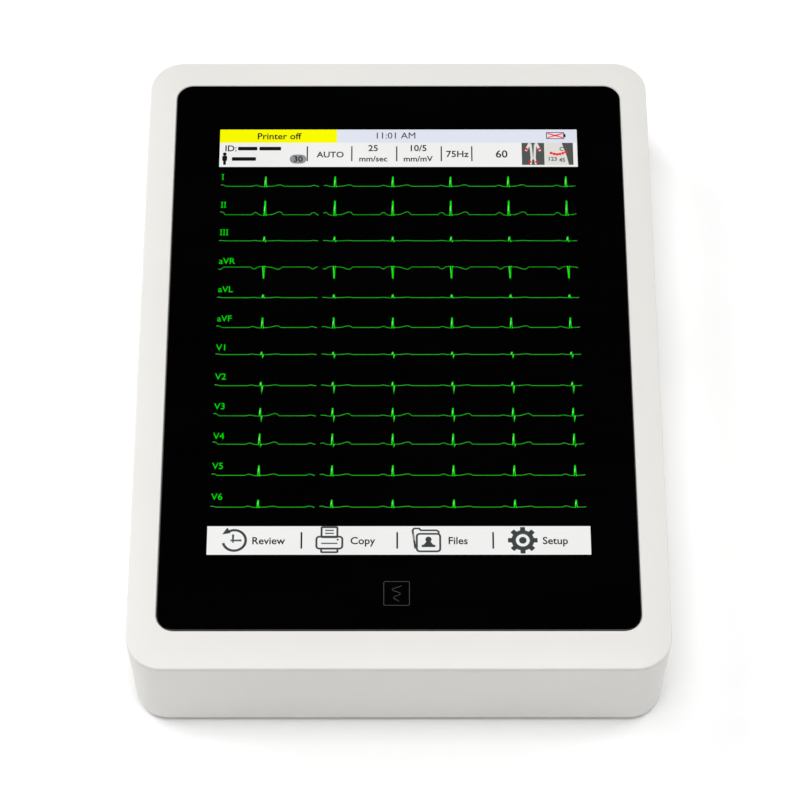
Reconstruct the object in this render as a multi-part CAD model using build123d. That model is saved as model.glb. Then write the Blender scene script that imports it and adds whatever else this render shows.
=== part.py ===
from build123d import *

import math
import os

# ECG machine: a flat case with a glass front, a paper recorder across its rear end
# and its sockets in the side walls. Millimetres. X runs to the user's right, Y runs
# away from the user, Z is up. The origin is the middle of the footprint, at the feet.

# ---- case ----
CASE_WIDTH = 258.0
CASE_DEPTH = 348.0
CASE_CORNER_R = 17.3
CASE_DRAFT = 1.2
FOOT_DROP = 2.5
CREST_Z = 62.5
SEAM_DROP = 1.6
SEAM_GAP = 0.3
WALL = 2.6
FLOOR = 2.8
BASE_EDGE_R = 2.0

# ---- bezel and glass ----
SIDE_BORDER = 14.15
REAR_BORDER = 15.5
FRONT_BORDER = 19.5
CROWN_WIDTH = 12.8
CROWN_RISE = 1.4
CREST_R = 0.8
GLASS_THICKNESS = 1.8
GLASS_CORNER_R = 8.4
GLASS_FIT = 0.25
GLASS_EDGE_R = 0.3
BEZEL_LIP_EDGE = 0.4
GASKET_THICKNESS = 0.5
GASKET_WIDTH = 6.0
LEDGE_THICKNESS = 2.4
BEZEL_SKIRT = 1.8
SKIRT_FIT = 0.3
BEZEL_SKIN = 1.5

# ---- display ----
LCD_WIDTH = 204.0
LCD_LENGTH = 260.5
LCD_THICKNESS = 8.4
LCD_CENTRE_Y = 8.25
LCD_FIT = 0.4
SHEET = 1.0
BRACKET_FLANGE = 8.0
KEY_BOARD_WIDTH = 32.0
KEY_BOARD_DEPTH = 18.0
KEY_Y = -137.5

# ---- screw columns that join the two case halves ----
COLUMN_R = 3.8
COLUMN_INSET_X = 10.2
COLUMN_INSET_Y = 14.5
COLUMN_TOP_Z = 52.0
MIDDLE_COLUMN_Y = -20.0
SCREW_R = 1.5
SCREW_HEAD_R = 2.75
SCREW_HEAD_H = 2.5
HOLE_FIT = 0.15

# ---- recorder ----
PAPER_WIDTH = 210.0
ROLL_R = 21.0
CORE_R = 8.0
CORE_WALL = 1.2
ROLL_FROM_REAR = 48.0
ROLL_Z = 28.5
PLATEN_R = 7.0
PLATEN_FROM_REAR = 13.0
PLATEN_Z = 44.0
PLATEN_OVERHANG = 1.0
SHAFT_R = 3.0
BUSHING_R = 4.6
RUNNING_FIT = 0.05
ARM_GAP = 1.0
ARM_THICKNESS = 2.2
GEAR_GAP = 0.4
GEAR_FACE = 3.0
GEAR_MODULE = 0.8
GEAR_BACKLASH = 0.12
PLATEN_TEETH = 16
IDLER_TEETH = 25
TRANSFER_TEETH = 51
PINION_TEETH = 14
MOTOR_R = 10.0
MOTOR_LENGTH = 23.0
MOTOR_Z = 24.0
STUD_R = 1.5
FRAME_FOOT_LEAD = 9.4
WEB_THICKNESS = 0.12

# ---- paper door ----
DOOR_FIT = 0.4
DOOR_SIDE = 1.0
HINGE_Z = 9.0
BARREL_R = 2.2
HINGE_PIN_R = 1.25
SLOT_TOP_Z = 53.1
SLOT_HEIGHT = 2.5
LOCK_Z = 31.0
LOCK_TRAVEL = 3.5

# ---- print head ----
HEAD_GAP = 0.7
HEAD_CERAMIC = 0.8
HEAD_PLATE = 2.0
HEAD_DEPTH = 18.5
HEAD_REACH = 1.0
BEAM_Z = 57.3
BEAM_THICKNESS = 1.5
SPRING_R = 2.5
SPRING_WIRE = 0.25

# ---- boards ----
BOARD = 1.6
MAIN_BOARD_WIDTH = 190.0
MAIN_BOARD_DEPTH = 76.0
MAIN_BOARD_Z = 16.0
MAIN_BOARD_FROM_FRONT = 22.0
MODULE_BOARD_Z = 14.0
ECG_BOARD_WIDTH = 48.0
ECG_BOARD_DEPTH = 70.0
POWER_BOARD_WIDTH = 42.0
POWER_BOARD_DEPTH = 80.0
MODULE_CENTRE_Y = 33.0
STANDOFF_R = 3.0

# ---- battery ----
BATTERY_WIDTH = 74.0
BATTERY_DEPTH = 67.0
BATTERY_HEIGHT = 19.0
BATTERY_Y = -5.0
BATTERY_FIT = 1.0
DOOR_PLATE = 1.6
DOOR_LEDGE = 3.0

# ---- sockets in the side walls ----
PATIENT_Y = 35.0
PATIENT_Z = 28.0
MAINS_Y = 45.0
MAINS_Z = 30.0
EARTH_Y = 5.0
EARTH_Z = 30.0
EARTH_PIN_R = 3.0
EARTH_PIN_LENGTH = 12.0
USB_WIDTH = 14.5
USB_HEIGHT = 7.0
USB_DEPTH = 14.0
USB_FROM_FRONT = (54.0, 72.0)
LAN_WIDTH = 16.0
LAN_HEIGHT = 13.5
LAN_DEPTH = 21.0
LAN_FROM_FRONT = 90.0
BUTTON_R = 6.0
BUTTON_FROM_FRONT = 34.0
BUTTON_Z = 38.0
BUTTON_TRAVEL = 0.6

# ---- underside ----
FOOT_R = 8.0
FOOT_INSET = 29.0
FOOT_RECESS = 0.8
INSERT_SPACING = 100.0
INSERT_R = 2.8
INSERT_BORE_R = 2.0
INSERT_LENGTH = 7.0
SPEAKER_R = 18.0
SPEAKER_HEIGHT = 7.0
SPEAKER_X = -93.0
SPEAKER_FROM_FRONT = 60.0

# ---- worked out from the values above ----
HALF_WIDTH = CASE_WIDTH / 2
HALF_DEPTH = CASE_DEPTH / 2
SEAM_Z = CREST_Z - SEAM_DROP
BASE_Z = FOOT_DROP
FLOOR_Z = BASE_Z + FLOOR
GLASS_Z = CREST_Z + CROWN_RISE
GLASS_UNDER_Z = GLASS_Z - GLASS_THICKNESS
LEDGE_Z = GLASS_UNDER_Z - GASKET_THICKNESS
LEDGE_UNDER_Z = LEDGE_Z - LEDGE_THICKNESS
GLASS_WIDTH = CASE_WIDTH - 2 * SIDE_BORDER
GLASS_LENGTH = CASE_DEPTH - FRONT_BORDER - REAR_BORDER
GLASS_Y = (FRONT_BORDER - REAR_BORDER) / 2
LCD_BASE_Z = LEDGE_Z - LCD_THICKNESS
BRACKET_Z = LCD_BASE_Z - SHEET
FRONT_Y = -HALF_DEPTH

ROLL_Y = HALF_DEPTH - ROLL_FROM_REAR
PLATEN_Y = HALF_DEPTH - PLATEN_FROM_REAR
PLATEN_HALF = PAPER_WIDTH / 2 + PLATEN_OVERHANG
ARM_X = PLATEN_HALF + ARM_GAP
GEAR_X = ARM_X + ARM_THICKNESS + GEAR_GAP
DOOR_HALF = GEAR_X + GEAR_FACE + DOOR_SIDE
OPENING_HALF = DOOR_HALF + DOOR_FIT
BAY_FRONT_Y = ROLL_Y - ROLL_R - 3.5


def wall_face(half, z):
    """Outer face of a drafted wall at one height."""
    return half - (SEAM_Z - z) * math.tan(math.radians(CASE_DRAFT))


HINGE_Y = wall_face(HALF_DEPTH, HINGE_Z) - BARREL_R
DOOR_TOP_Z = SLOT_TOP_Z - SLOT_HEIGHT
SILL_Z = HINGE_Z - BARREL_R - 0.3

# The idler sits straight behind the platen, seen along the way the door first moves,
# so its teeth part cleanly when the door opens.
SWING = math.hypot(PLATEN_Y - HINGE_Y, PLATEN_Z - HINGE_Z)
PLATEN_TO_IDLER = GEAR_MODULE * (PLATEN_TEETH + IDLER_TEETH) / 2
IDLER_Y = PLATEN_Y - PLATEN_TO_IDLER * (PLATEN_Z - HINGE_Z) / SWING
IDLER_Z = PLATEN_Z - PLATEN_TO_IDLER * (HINGE_Y - PLATEN_Y) / SWING
IDLER_TO_TRANSFER = GEAR_MODULE * (IDLER_TEETH + TRANSFER_TEETH) / 2
TRANSFER_Z = ROLL_Z
TRANSFER_Y = IDLER_Y - math.sqrt(IDLER_TO_TRANSFER**2 - (IDLER_Z - TRANSFER_Z) ** 2)
TRANSFER_TO_PINION = GEAR_MODULE * (TRANSFER_TEETH + PINION_TEETH) / 2
MOTOR_Y = TRANSFER_Y - math.sqrt(TRANSFER_TO_PINION**2 - (TRANSFER_Z - MOTOR_Z) ** 2)

HEAD_FACE_Z = PLATEN_Z + PLATEN_R + HEAD_GAP
HEAD_PLATE_Z = HEAD_FACE_Z + HEAD_CERAMIC
HEAD_REAR_Y = PLATEN_Y + HEAD_REACH
HEAD_FRONT_Y = HEAD_REAR_Y - HEAD_DEPTH
PIVOT_Y = HEAD_FRONT_Y + 1.5
PIVOT_Z = HEAD_PLATE_Z + HEAD_PLATE / 2
CHEEK_TOP_Z = 50.0
CHEEK_REAR_Y = HEAD_FRONT_Y + 6.5

MAIN_BOARD_X1 = HALF_WIDTH - 7.0
MAIN_BOARD_X0 = MAIN_BOARD_X1 - MAIN_BOARD_WIDTH
MAIN_BOARD_Y0 = FRONT_Y + MAIN_BOARD_FROM_FRONT
MAIN_BOARD_Y1 = MAIN_BOARD_Y0 + MAIN_BOARD_DEPTH
MAIN_BOARD_TOP = MAIN_BOARD_Z + BOARD
MODULE_TOP = MODULE_BOARD_Z + BOARD
ECG_X1 = HALF_WIDTH - 21.0
ECG_X0 = ECG_X1 - ECG_BOARD_WIDTH
POWER_X0 = -HALF_WIDTH + 31.0
POWER_X1 = POWER_X0 + POWER_BOARD_WIDTH
BUTTON_Y = FRONT_Y + BUTTON_FROM_FRONT


# ---- small helpers ----
def block(x0, x1, y0, y1, z0, z1):
    """Box between two corners."""
    middle = ((x0 + x1) / 2, (y0 + y1) / 2, (z0 + z1) / 2)
    return Pos(*middle) * Box(abs(x1 - x0), abs(y1 - y0), abs(z1 - z0))


def rod_x(radius, x0, x1, y, z):
    """Cylinder along X."""
    return Pos((x0 + x1) / 2, y, z) * Rot(0, 90, 0) * Cylinder(radius, abs(x1 - x0))


def rod_z(radius, z0, z1, x, y):
    """Cylinder along Z."""
    return Pos(x, y, (z0 + z1) / 2) * Cylinder(radius, abs(z1 - z0))


def slab(width, depth, radius, z0, z1, y=0.0):
    """Upright prism on a rounded rectangle."""
    outline = Pos(0, y, z0) * RectangleRounded(width, depth, radius)
    return extrude(outline, z1 - z0, dir=(0, 0, 1))


def strip_x(points, x0, x1):
    """Prism along X on a closed outline of (y, z) points."""
    outline = Plane.YZ.offset(x0) * make_face(Polyline(points, close=True))
    return extrude(outline, x1 - x0)


def case_solid(inset, z0):
    """Drafted envelope of the case, from a height up to the seam."""
    outline = Pos(0, 0, SEAM_Z) * RectangleRounded(
        CASE_WIDTH - 2 * inset, CASE_DEPTH - 2 * inset, CASE_CORNER_R - inset
    )
    return extrude(outline, SEAM_Z - z0, dir=(0, 0, -1), taper=CASE_DRAFT)


def case_outside():
    """Envelope with its rounded bottom edge."""
    solid = case_solid(0, BASE_Z)
    return fillet(solid.faces().sort_by(Axis.Z)[0].edges(), BASE_EDGE_R)


def group(pieces):
    """Several separate solids that share one node."""
    return Compound(children=[piece.solid() for piece in pieces])


def column_places():
    """Centres of the screw columns: four corners and both middles."""
    x = HALF_WIDTH - COLUMN_INSET_X
    y = HALF_DEPTH - COLUMN_INSET_Y
    return [(sx * x, cy) for sx in (-1, 1) for cy in (-y, MIDDLE_COLUMN_Y, y)]


def main_board_places():
    xs = (MAIN_BOARD_X0 + 6, MAIN_BOARD_X1 - 26)
    return [(x, y) for x in xs for y in (MAIN_BOARD_Y0 + 6, MAIN_BOARD_Y1 - 6)]


def module_places(x0, x1, depth):
    ys = (MODULE_CENTRE_Y - depth / 2 + 4, MODULE_CENTRE_Y + depth / 2 - 4)
    return [(x, y) for x in (x0 + 4, x1 - 4) for y in ys]


def ecg_places():
    return module_places(ECG_X0, ECG_X1, ECG_BOARD_DEPTH)


def power_places():
    return module_places(POWER_X0, POWER_X1, POWER_BOARD_DEPTH)


def foot_places():
    x = HALF_WIDTH - FOOT_INSET
    y = HALF_DEPTH - FOOT_INSET - 5
    return [(sx * x, sy * y) for sx in (-1, 1) for sy in (-1, 1)]


def insert_places():
    half = INSERT_SPACING / 2
    return [(sx * half, BATTERY_Y + sy * half) for sx in (-1, 1) for sy in (-1, 1)]


# ---- case ----
def front_bezel():
    """Crowned frame with a ledge under the glass and a skirt inside the lower case."""
    frame = slab(CASE_WIDTH, CASE_DEPTH, CASE_CORNER_R, SEAM_Z, GLASS_Z)
    sphere_r = (CROWN_WIDTH**2 + CROWN_RISE**2) / (2 * CROWN_RISE)
    half_angle = math.asin(CROWN_WIDTH / sphere_r) / 2
    inner_x = HALF_WIDTH - CROWN_WIDTH
    middle = (
        inner_x + sphere_r * math.sin(half_angle),
        GLASS_Z - sphere_r + sphere_r * math.cos(half_angle),
    )
    crest = (HALF_WIDTH, CREST_Z)
    crown = ThreePointArc(crest, middle, (inner_x, GLASS_Z))
    outside = Polyline(
        (inner_x, GLASS_Z), (inner_x, GLASS_Z + 1), (HALF_WIDTH + 1, GLASS_Z + 1),
        (HALF_WIDTH + 1, CREST_Z), crest,
    )
    section = Plane.XZ * make_face(Curve() + crown + outside)
    path = RectangleRounded(CASE_WIDTH, CASE_DEPTH, CASE_CORNER_R).wire()
    frame -= sweep(section, path=path)
    crest_edges = [
        edge for edge in frame.edges()
        if abs(edge.center().Z - CREST_Z) < 0.05 and edge.bounding_box().size.Z < 0.1
    ]
    frame = fillet(crest_edges, CREST_R)

    inset = WALL + SKIRT_FIT
    frame += slab(
        CASE_WIDTH - 2 * inset, CASE_DEPTH - 2 * inset, CASE_CORNER_R - inset,
        LEDGE_UNDER_Z, SEAM_Z,
    )
    groove_out = inset + BEZEL_SKIRT
    groove = slab(
        CASE_WIDTH - 2 * groove_out, CASE_DEPTH - 2 * groove_out,
        CASE_CORNER_R - groove_out, LEDGE_UNDER_Z, CREST_Z - BEZEL_SKIN,
    )
    ledge = slab(
        GLASS_WIDTH + 4, GLASS_LENGTH + 4, GLASS_CORNER_R + 2,
        LEDGE_UNDER_Z - 1, CREST_Z, GLASS_Y,
    )
    frame -= groove - ledge
    recess = slab(
        GLASS_WIDTH + 2 * GLASS_FIT, GLASS_LENGTH + 2 * GLASS_FIT,
        GLASS_CORNER_R + GLASS_FIT, LEDGE_Z, GLASS_Z + 1, GLASS_Y,
    )
    frame -= recess
    lip = [
        edge for edge in frame.edges()
        if abs(edge.center().Z - GLASS_Z) < 0.01
        and abs(edge.center().X) < HALF_WIDTH - CROWN_WIDTH - 0.2
        and abs(edge.center().Y - GLASS_Y) < GLASS_LENGTH / 2 + 0.5
    ]
    frame = chamfer(lip, BEZEL_LIP_EDGE)
    frame -= slab(
        LCD_WIDTH + 2, LCD_LENGTH + 2, 1.0, LEDGE_UNDER_Z - 1, LEDGE_Z + 1, LCD_CENTRE_Y
    )
    frame -= Pos(0, KEY_Y, LEDGE_UNDER_Z) * Box(KEY_BOARD_WIDTH + 2, KEY_BOARD_DEPTH + 2, 8)
    for x, y in column_places():
        frame += rod_z(COLUMN_R, COLUMN_TOP_Z, CREST_Z - BEZEL_SKIN, x, y)
        frame -= rod_z(SCREW_R, COLUMN_TOP_Z - 1, CREST_Z - BEZEL_SKIN - 3, x, y)
    return frame


def cover_glass():
    glass = slab(
        GLASS_WIDTH, GLASS_LENGTH, GLASS_CORNER_R, GLASS_UNDER_Z, GLASS_Z, GLASS_Y
    )
    return fillet(glass.faces().sort_by(Axis.Z)[-1].edges(), GLASS_EDGE_R)


def glass_gasket():
    """Foam tape between the glass and the ledge, open round the display and the key."""
    tape = slab(
        GLASS_WIDTH - 1, GLASS_LENGTH - 1, GLASS_CORNER_R, LEDGE_Z, GLASS_UNDER_Z, GLASS_Y
    )
    tape -= slab(
        GLASS_WIDTH - 2 * GASKET_WIDTH, GLASS_LENGTH - 2 * GASKET_WIDTH, 2.0,
        LEDGE_Z, GLASS_UNDER_Z, GLASS_Y,
    )
    return tape


def raised_floor_pieces():
    """What stands on the floor of the lower case."""
    pieces = [rod_z(COLUMN_R, BASE_Z + 1, COLUMN_TOP_Z, x, y) for x, y in column_places()]
    for x, y in main_board_places():
        pieces.append(rod_z(STANDOFF_R, BASE_Z + 1, MAIN_BOARD_Z, x, y))
    for x, y in ecg_places() + power_places():
        pieces.append(rod_z(STANDOFF_R, BASE_Z + 1, MODULE_BOARD_Z, x, y))
    for x, y in insert_places():
        pieces.append(rod_z(INSERT_R + 1.6, BASE_Z + 1, BASE_Z + INSERT_LENGTH, x, y))
    ring_y = FRONT_Y + SPEAKER_FROM_FRONT
    ring = rod_z(SPEAKER_R + 1.8, BASE_Z + 1, FLOOR_Z + 3, SPEAKER_X, ring_y)
    ring -= rod_z(SPEAKER_R + 0.2, FLOOR_Z, FLOOR_Z + 4, SPEAKER_X, ring_y)
    pieces.append(ring)
    half_x = BATTERY_WIDTH / 2 + BATTERY_FIT
    half_y = BATTERY_DEPTH / 2 + BATTERY_FIT
    well = Pos(0, BATTERY_Y, (FLOOR_Z + 18) / 2) * Box(
        2 * half_x + 4, 2 * half_y + 4, 18 - FLOOR_Z + 2
    )
    well -= Pos(0, BATTERY_Y, 15) * Box(2 * half_x, 2 * half_y, 30)
    pieces.append(well)
    for side in (-1, 1):
        pieces.append(
            block(
                side * OPENING_HALF, side * (OPENING_HALF + 5),
                HINGE_Y - 5, wall_face(HALF_DEPTH, SILL_Z) - 1, BASE_Z + 1, LOCK_Z + 6,
            )
        )
    return pieces


def side_pocket(side, y, z, width, height, floor_x):
    """Walled recess in a side wall: the piece to add and the hollow to cut."""
    reach = wall_face(HALF_WIDTH, z) - 1
    walls = block(
        side * (floor_x - 2), side * reach, y - width / 2 - 2, y + width / 2 + 2,
        z - height / 2 - 2, z + height / 2 + 2,
    )
    hollow = block(
        side * floor_x, side * (HALF_WIDTH + 2), y - width / 2, y + width / 2,
        z - height / 2, z + height / 2,
    )
    return walls, hollow


PATIENT_FLOOR_X = wall_face(HALF_WIDTH, PATIENT_Z) - 6.5
MAINS_FLOOR_X = wall_face(HALF_WIDTH, MAINS_Z) - 2.4
EARTH_FLOOR_X = wall_face(HALF_WIDTH, EARTH_Z) - EARTH_PIN_LENGTH - 1.0


def d_outline(width, height):
    """D-shaped outline of a patient socket, in the side wall's plane."""
    half = width / 2
    lean = height * math.tan(math.radians(10))
    return [
        (PATIENT_Y - half, PATIENT_Z + height / 2),
        (PATIENT_Y + half, PATIENT_Z + height / 2),
        (PATIENT_Y + half - lean, PATIENT_Z - height / 2),
        (PATIENT_Y - half + lean, PATIENT_Z - height / 2),
    ]


def wall_cuts():
    """Openings through the walls and the floor."""
    cuts = []
    for x, y in column_places():
        cuts.append(rod_z(SCREW_HEAD_R + 0.35, BASE_Z - 1, COLUMN_TOP_Z - 6, x, y))
        cuts.append(rod_z(SCREW_R + HOLE_FIT, BASE_Z, COLUMN_TOP_Z + 1, x, y))
    for x, y in main_board_places():
        cuts.append(rod_z(1.25, MAIN_BOARD_Z - 6, MAIN_BOARD_Z + 1, x, y))
    for x, y in ecg_places() + power_places():
        cuts.append(rod_z(1.25, MODULE_BOARD_Z - 6, MODULE_BOARD_Z + 1, x, y))
    for x, y in insert_places():
        cuts.append(rod_z(INSERT_R, BASE_Z - 1, BASE_Z + INSERT_LENGTH - 1, x, y))
    for x, y in foot_places():
        cuts.append(rod_z(FOOT_R + 0.2, BASE_Z - 1, BASE_Z + FOOT_RECESS, x, y))
    x = HALF_WIDTH
    usb_z = MAIN_BOARD_TOP + USB_HEIGHT / 2
    for offset in USB_FROM_FRONT:
        hole = Box(20, USB_WIDTH + 0.6, USB_HEIGHT + 0.6)
        cuts.append(Pos(x, FRONT_Y + offset, usb_z) * hole)
    lan_z = MAIN_BOARD_TOP + LAN_HEIGHT / 2
    cuts.append(
        Pos(x, FRONT_Y + LAN_FROM_FRONT, lan_z) * Box(20, LAN_WIDTH + 0.6, LAN_HEIGHT + 0.6)
    )
    cuts.append(rod_x(BUTTON_R + 0.3, x - 8, x + 2, BUTTON_Y, BUTTON_Z))
    cuts.append(strip_x(d_outline(25.6, 8.9), PATIENT_FLOOR_X - 5, PATIENT_FLOOR_X + 1))
    for side in (-1, 1):
        post_y = PATIENT_Y + side * 16.65
        cuts.append(rod_x(1.7, PATIENT_FLOOR_X - 5, PATIENT_FLOOR_X + 1, post_y, PATIENT_Z))
    cuts.append(Pos(-MAINS_FLOOR_X, MAINS_Y, MAINS_Z) * Box(12, 27.4, 20.0))
    cuts.append(rod_x(2.6, -EARTH_FLOOR_X - 1, -EARTH_FLOOR_X + 4, EARTH_Y, EARTH_Z))
    half_x = BATTERY_WIDTH / 2 + BATTERY_FIT
    half_y = BATTERY_DEPTH / 2 + BATTERY_FIT
    cuts.append(Pos(0, BATTERY_Y, BASE_Z) * Box(2 * half_x, 2 * half_y, 12))
    ledge = DOOR_LEDGE + 0.3
    plate = Box(2 * half_x + 2 * ledge, 2 * half_y + 2 * ledge, 2 * DOOR_PLATE)
    cuts.append(Pos(0, BATTERY_Y, BASE_Z) * plate)
    for side in (-1, 1):
        cuts.append(rod_z(1.0, BASE_Z, FLOOR_Z + 6, side * (half_x + 1.5), BATTERY_Y))
    cuts += grille_holes()
    cuts.append(
        block(-OPENING_HALF, OPENING_HALF, HINGE_Y - 6, HALF_DEPTH + 2, SILL_Z, SLOT_TOP_Z)
    )
    for side in (-1, 1):
        inner = side * (OPENING_HALF - 1)
        cuts.append(
            rod_x(HINGE_PIN_R + RUNNING_FIT, inner, side * (OPENING_HALF + 3.5), HINGE_Y, HINGE_Z)
        )
        cuts.append(
            block(
                inner, side * (OPENING_HALF + 4), HINGE_Y - 3.6, HINGE_Y,
                LOCK_Z - 3.5, LOCK_Z + 3.5,
            )
        )
    return cuts


def grille_holes():
    """Rings of sound holes under the speaker."""
    y = FRONT_Y + SPEAKER_FROM_FRONT
    holes = [rod_z(1.1, BASE_Z - 1, FLOOR_Z + 1, SPEAKER_X, y)]
    for ring in (1, 2, 3):
        radius = 4.5 * ring
        for step in range(6 * ring):
            angle = 2 * math.pi * step / (6 * ring)
            hole_x = SPEAKER_X + radius * math.cos(angle)
            hole_y = y + radius * math.sin(angle)
            holes.append(rod_z(1.1, BASE_Z - 1, FLOOR_Z + 1, hole_x, hole_y))
    return holes


def lower_housing():
    """Drafted tray with pockets, columns and the opening for the paper door."""
    tray = case_outside() - case_solid(WALL, FLOOR_Z)
    tray -= Pos(0, 0, SEAM_Z) * Box(CASE_WIDTH + 2, CASE_DEPTH + 2, 2 * SEAM_GAP)
    pockets = [
        side_pocket(1, PATIENT_Y, PATIENT_Z, 46, 19, PATIENT_FLOOR_X),
        side_pocket(-1, MAINS_Y, MAINS_Z, 33, 26, MAINS_FLOOR_X),
        side_pocket(-1, EARTH_Y, EARTH_Z, 20, 20, EARTH_FLOOR_X),
    ]
    tray += raised_floor_pieces() + [walls for walls, hollow in pockets]
    tray -= wall_cuts() + [hollow for walls, hollow in pockets]
    return tray


def housing_screws():
    screws = []
    seat = COLUMN_TOP_Z - 6
    for x, y in column_places():
        head = rod_z(SCREW_HEAD_R, seat - SCREW_HEAD_H, seat, x, y)
        head -= Pos(x, y, seat - SCREW_HEAD_H) * extrude(RegularPolygon(1.3, 6), 1.4)
        screws.append(head + rod_z(SCREW_R, seat, COLUMN_TOP_Z + 4, x, y))
    return group(screws)


def rubber_feet():
    feet = []
    for x, y in foot_places():
        foot = rod_z(FOOT_R, 0, BASE_Z + FOOT_RECESS, x, y)
        feet.append(fillet(foot.faces().sort_by(Axis.Z)[0].edges(), 0.8))
    return group(feet)


def trolley_inserts():
    """Threaded brass inserts for a trolley plate."""
    inserts = []
    for x, y in insert_places():
        body = rod_z(INSERT_R, BASE_Z, BASE_Z + INSERT_LENGTH - 1, x, y)
        inserts.append(body - rod_z(INSERT_BORE_R, BASE_Z - 1, BASE_Z + INSERT_LENGTH, x, y))
    return group(inserts)


def battery_door():
    half_x = BATTERY_WIDTH / 2 + BATTERY_FIT + DOOR_LEDGE
    half_y = BATTERY_DEPTH / 2 + BATTERY_FIT + DOOR_LEDGE
    plate = Pos(0, BATTERY_Y, BASE_Z + DOOR_PLATE / 2) * Box(
        2 * half_x, 2 * half_y, DOOR_PLATE
    )
    for side in (-1, 1):
        x = side * (half_x - DOOR_LEDGE + 1.5)
        plate -= rod_z(1.15, BASE_Z - 1, BASE_Z + 4, x, BATTERY_Y)
        plate -= rod_z(1.9, BASE_Z - 1, BASE_Z + 0.8, x, BATTERY_Y)
    return plate


def battery_door_screws():
    screws = []
    for side in (-1, 1):
        x = side * (BATTERY_WIDTH / 2 + BATTERY_FIT + 1.5)
        head = rod_z(1.7, BASE_Z, BASE_Z + 0.8, x, BATTERY_Y)
        screws.append(head + rod_z(1.0, BASE_Z + 0.8, BASE_Z + 7, x, BATTERY_Y))
    return group(screws)


# ---- display ----
def lcd_panel():
    return Pos(0, LCD_CENTRE_Y, LCD_BASE_Z + LCD_THICKNESS / 2) * Box(
        LCD_WIDTH, LCD_LENGTH, LCD_THICKNESS
    )


def lcd_bracket():
    """Sheet tray that hangs the display from the ledge of the bezel."""
    half_x = LCD_WIDTH / 2 + LCD_FIT
    half_y = LCD_LENGTH / 2 + LCD_FIT
    tray = slab(2 * half_x + 2 * SHEET, 2 * half_y + 2 * SHEET, 1.4, BRACKET_Z, LEDGE_UNDER_Z,
                LCD_CENTRE_Y)
    tray -= Pos(0, LCD_CENTRE_Y, LCD_BASE_Z + 10) * Box(2 * half_x, 2 * half_y, 20)
    for row in (-1, 0, 1):
        tray -= Pos(0, LCD_CENTRE_Y + row * 78, BRACKET_Z) * Box(150, 58, 6)
    for side in (-1, 1):
        for y in bracket_rows():
            x = side * (half_x + SHEET + BRACKET_FLANGE / 2 - 0.2)
            tab = Pos(x, y, LEDGE_UNDER_Z - SHEET / 2) * Box(BRACKET_FLANGE, 14, SHEET)
            tray += tab
            tray -= rod_z(1.3, LEDGE_UNDER_Z - 2, LEDGE_UNDER_Z + 1, x, y)
    return tray


def bracket_rows():
    return [LCD_CENTRE_Y + row * LCD_LENGTH * 0.38 for row in (-1, 0, 1)]


def lcd_screws():
    screws = []
    for side in (-1, 1):
        for y in bracket_rows():
            x = side * (LCD_WIDTH / 2 + LCD_FIT + SHEET + BRACKET_FLANGE / 2 - 0.2)
            under = LEDGE_UNDER_Z - SHEET
            head = rod_z(2.2, under - 1.4, under, x, y)
            screws.append(head + rod_z(1.2, under, LEDGE_UNDER_Z, x, y))
    return group(screws)


def key_board():
    """Touch sensor glued to the back of the glass."""
    return Pos(0, KEY_Y, GLASS_UNDER_Z - 0.5) * Box(KEY_BOARD_WIDTH, KEY_BOARD_DEPTH, 1.0)


def display_cable():
    y = MAIN_BOARD_Y1 - 24
    low = MAIN_BOARD_TOP
    return block(-24, 6, y, y + 0.4, low, BRACKET_Z)


# ---- boards ----
def main_board():
    board = block(
        MAIN_BOARD_X0, MAIN_BOARD_X1, MAIN_BOARD_Y0, MAIN_BOARD_Y1, MAIN_BOARD_Z, MAIN_BOARD_TOP
    )
    for x, y in main_board_places():
        board -= rod_z(1.6, MAIN_BOARD_Z - 1, MAIN_BOARD_TOP + 1, x, y)
    return board


def main_board_chips():
    """Processor, memories, connectors and a coil as separate blocks."""
    x0, y0, z = MAIN_BOARD_X0, MAIN_BOARD_Y0, MAIN_BOARD_TOP
    chips = [block(x0 + 60, x0 + 88, y0 + 22, y0 + 50, z, z + 2.6)]
    for row in range(4):
        chips.append(block(x0 + 96, x0 + 108, y0 + 12 + row * 13, y0 + 21 + row * 13, z, z + 1.2))
    for row in range(3):
        chips.append(rod_z(4, z, z + 9, x0 + 20 + row * 11, y0 + 18))
    chips.append(block(x0 + 18, x0 + 44, y0 + 60, y0 + 66, z, z + 6))
    chips.append(block(x0 + 16, x0 + 30, y0 + 34, y0 + 48, z, z + 5))
    return group(chips)


def board_screws():
    seats = [(x, y, MAIN_BOARD_TOP) for x, y in main_board_places()]
    seats += [(x, y, MODULE_TOP) for x, y in ecg_places() + power_places()]
    screws = []
    for x, y, z in seats:
        screws.append(rod_z(2.4, z, z + 1.8, x, y) + rod_z(1.2, z - 6, z, x, y))
    return group(screws)


def module_board(x0, x1, depth, places):
    half = depth / 2
    board = block(
        x0, x1, MODULE_CENTRE_Y - half, MODULE_CENTRE_Y + half, MODULE_BOARD_Z, MODULE_TOP
    )
    for x, y in places:
        board -= rod_z(1.6, MODULE_BOARD_Z - 1, MODULE_TOP + 1, x, y)
    return board


def ecg_board():
    return module_board(ECG_X0, ECG_X1, ECG_BOARD_DEPTH, ecg_places())


def ecg_shield():
    """Folded can over the patient amplifier, open underneath."""
    y0 = MODULE_CENTRE_Y - ECG_BOARD_DEPTH / 2 + 8
    y1 = MODULE_CENTRE_Y + ECG_BOARD_DEPTH / 2 - 8
    can = block(ECG_X0 + 2, ECG_X1 - 2, y0, y1, MODULE_TOP, MODULE_TOP + 12)
    hollow = block(ECG_X0 + 2.6, ECG_X1 - 2.6, y0 + 0.6, y1 - 0.6, MODULE_TOP - 1, MODULE_TOP + 11.4)
    return can - hollow


def power_supply_board():
    return module_board(POWER_X0, POWER_X1, POWER_BOARD_DEPTH, power_places())


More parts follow.
